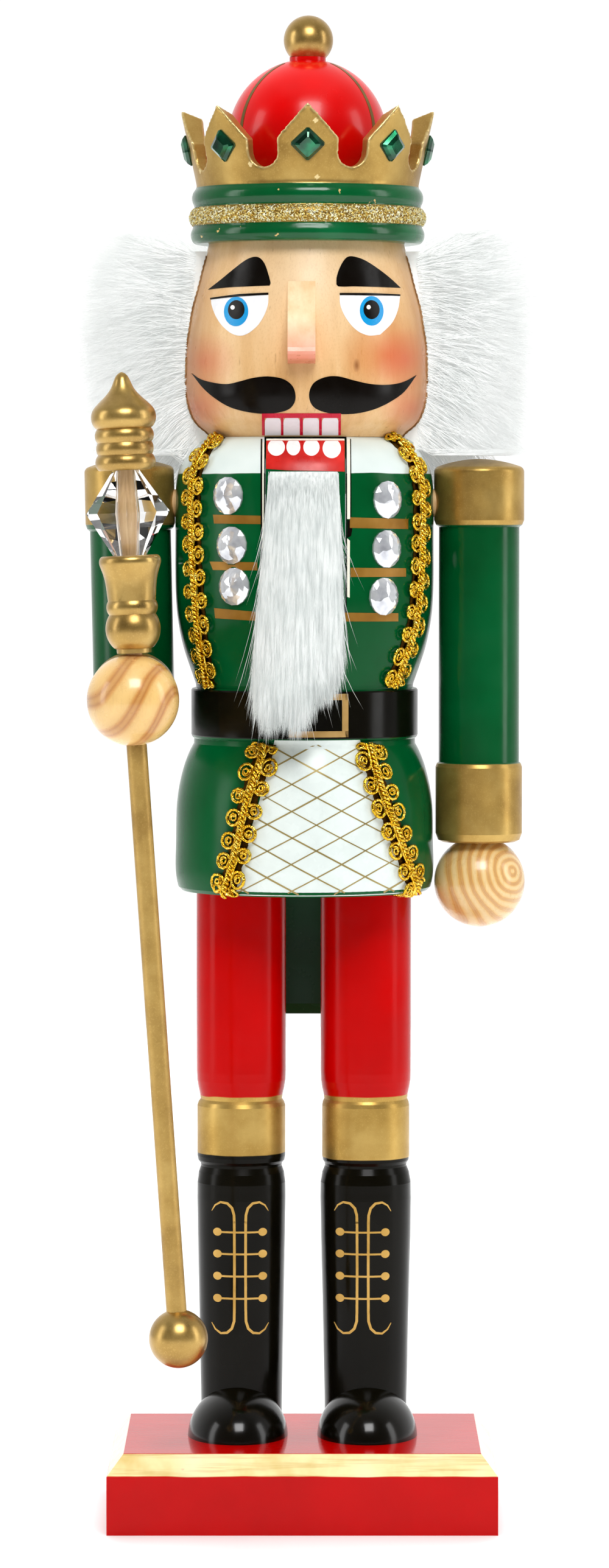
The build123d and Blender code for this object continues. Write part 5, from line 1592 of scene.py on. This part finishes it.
bp = make("beard_pelt", verts, faces, M_BEARD, "beard", angle=60)
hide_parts("beard")


def beard_strands(name, n, seed, ulo, uhi):
    r = np.random.default_rng(seed)
    z = 211.0 + 54.4 * r.beta(1.0, 0.85, n)
    u = r.uniform(ulo, uhi, n)
    l, rt = beard_edge(z)
    x = (l + rt) / 2 + u * (rt - l) / 2 * 0.97
    y = beard_y(x, z, -1.0 + 0.0)
    root = np.stack([x, y, z], 1)
    c1 = fbm(x / 2.6, z / 16.0, 31)
    c2 = fbm(x / 1.2, z / 12.0, 32)
    c3 = fbm(x / 0.5, z / 20.0, 33)
    ln = r.uniform(15, 27, n)
    zend = np.interp(x, [-13, -8, -1, 4, 10], [203.0, 201.0, 200.4, 206.5, 215.0]) + 3.4 * fbm(x / 0.7, z * 0 + 1.0, 34) + np.abs(r.normal(0, 4.2, n)) - 1.6
    # no strand ends much below the ragged bottom edge
    ln = np.minimum(ln, np.maximum(z - zend, 3.0))
    spread = 0.005 * u - 0.02 + 0.035 * c1 + 0.03 * c2 + r.normal(0, 0.03, n)
    stray = r.uniform(0, 1, n) < 0.016
    spread = np.where(stray, spread + np.sign(u) * r.uniform(0.03, 0.28, n), spread)
    ln = np.where(stray, np.minimum(ln * 1.2, 26), ln)
    outw = 0.10 + 0.05 * c2 + 0.05 * c3 + r.normal(0, 0.03, n)
    K = 4
    P = np.zeros((n, K + 1, 3))
    P[:, 0] = root
    bend = r.normal(0, 0.07, n) + np.where(stray, -0.6 * spread + r.normal(0, 0.12, n), 0.0)
    for k in range(1, K + 1):
        f = k / K
        d = np.stack([spread * (0.5 + f) + bend * f, -outw * (1.15 - 1.35 * f), -np.ones(n)], 1)
        d /= np.linalg.norm(d, axis=1, keepdims=True)
        P[:, k] = P[:, k - 1] + d * (ln / K)[:, None]
    # lie over the pelt, and stay in front of the coat
    depth = r.uniform(0.0, 0.75, n)[:, None]
    zz = np.maximum(P[:, 1:, 2], 206.0)
    P[:, 1:, 1] = np.minimum(P[:, 1:, 1], beard_y(P[:, 1:, 0], zz, -0.75 + depth))
    front = np.interp(P[:, :, 2], [195, 200, 215, 240, 266], [-30.2, -30.4, -29.4, -28.2, -27.4])
    P[:, :, 1] = np.minimum(P[:, :, 1], front - 0.15)
    P[:, :, 1] = np.maximum(P[:, :, 1], -37.6)
    rad = r.uniform(0.055, 0.105, n)
    ob = strands(name, P * MM, rad * MM, M_BEARD, "beard", soft=np.stack([u * 0.5, -np.ones(n), np.zeros(n)], 1))
    return ob


beard_strands("beard_strands_right", 9000, 201, -1.0, 0.05)
beard_strands("beard_strands_left", 9000, 202, -0.05, 1.0)

# ---------------------------------------------------------------- room, light, camera

def disc(name, radius, z, look):
    me = bpy.data.meshes.new(name)
    n = 96
    me.from_pydata([(radius * math.cos(2 * math.pi * i / n), radius * math.sin(2 * math.pi * i / n), z) for i in range(n)], [], [tuple(range(n))])
    me.materials.append(look.m)
    ob = bpy.data.objects.new(name, me)
    scene.collection.objects.link(ob)
    return ob


floor_m = Mat("floor_white", Specular_IOR_Level=0.2)
floor_m.colour(floor_m.ramp(floor_m.noise(6.0, 2.0), [(0.3, (0.93, 0.93, 0.93, 1)), (0.7, (0.95, 0.95, 0.95, 1))]))
floor_m.rough(floor_m.range(floor_m.noise(12.0, 2.0), 0.3, 0.7, 0.55, 0.65))
disc("floor", 1.35, 0.0, floor_m)

world = bpy.data.worlds.new("studio")
scene.world = world
world.use_nodes = True
wn = world.node_tree
wn.nodes.clear()
wo = wn.nodes.new("ShaderNodeOutputWorld")
bg = wn.nodes.new("ShaderNodeBackground")
bg2 = wn.nodes.new("ShaderNodeBackground")
mixw = wn.nodes.new("ShaderNodeMixShader")
lp = wn.nodes.new("ShaderNodeLightPath")
tcw = wn.nodes.new("ShaderNodeTexCoord")
sep = wn.nodes.new("ShaderNodeSeparateXYZ")
rmp = wn.nodes.new("ShaderNodeValToRGB")
mr = wn.nodes.new("ShaderNodeMapRange")
wn.links.new(tcw.outputs["Generated"], sep.inputs[0])
wn.links.new(sep.outputs[1], mr.inputs["Value"])
mr.inputs["From Min"].default_value = -1.0
mr.inputs["From Max"].default_value = 1.0
wn.links.new(mr.outputs[0], rmp.inputs[0])
e = rmp.color_ramp.elements
e[0].position, e[0].color = 0.0, (0.05, 0.05, 0.05, 1)
e[1].position, e[1].color = 1.0, (1.0, 1.0, 1.0, 1)
k = e.new(0.30)
k.color = (0.12, 0.12, 0.12, 1)
k = e.new(0.60)
k.color = (0.42, 0.42, 0.42, 1)
wn.links.new(rmp.outputs[0], bg.inputs["Color"])
bg.inputs["Strength"].default_value = 1.0
bg2.inputs["Color"].default_value = (1, 1, 1, 1)
bg2.inputs["Strength"].default_value = 1.05
wn.links.new(lp.outputs["Is Camera Ray"], mixw.inputs[0])
wn.links.new(bg.outputs[0], mixw.inputs[1])
wn.links.new(bg2.outputs[0], mixw.inputs[2])
wn.links.new(mixw.outputs[0], wo.inputs[0])


def softbox(name, where, target, sx, sy, power, colour=(1, 1, 1), shine=True):
    l = bpy.data.lights.new(name, "AREA")
    l.shape = "RECTANGLE"
    l.size, l.size_y = sx, sy
    l.energy = power
    l.color = colour
    o = bpy.data.objects.new(name, l)
    o.visible_glossy = shine
    o.location = where
    o.rotation_mode = "QUATERNION"
    o.rotation_quaternion = (Vector(target) - Vector(where)).to_track_quat("-Z", "Y")
    scene.collection.objects.link(o)
    return o


mid = (cad_lo + cad_hi) / 2
softbox("key_softbox", (0.16, -1.45, 1.62), (0, 0, mid.z), 0.9, 0.8, 27.0)
softbox("left_softbox", (-1.9, -0.35, 0.7), (0, 0, mid.z), 0.5, 1.5, 8.0)
softbox("right_softbox", (1.9, -0.35, 0.7), (0, 0, mid.z), 0.5, 1.5, 8.0)
softbox("back_softbox", (0.0, 1.6, 1.5), (0, 0.3, 0), 2.0, 1.2, 22.0, shine=False)
softbox("top_softbox", (0.0, 0.1, 2.2), (0, 0, 0), 2.0, 2.0, 26.0, shine=False)

cam = bpy.data.cameras.new("camera")
camo = bpy.data.objects.new("camera", cam)
scene.collection.objects.link(camo)
cam.sensor_fit = "AUTO"
cam.sensor_width = 36.0
cam.lens = 135.08
camo.location = (0.0, -1.494, 0.261593)
camo.rotation_euler = (math.radians(90 - 2.8903), 0.0, 0.0)
cam.clip_start, cam.clip_end = 0.05, 60.0
scene.camera = camo
scene.view_settings.view_transform = "Standard"
scene.view_settings.look = "None"
scene.view_settings.exposure = 0.0
scene.view_settings.gamma = 1.0
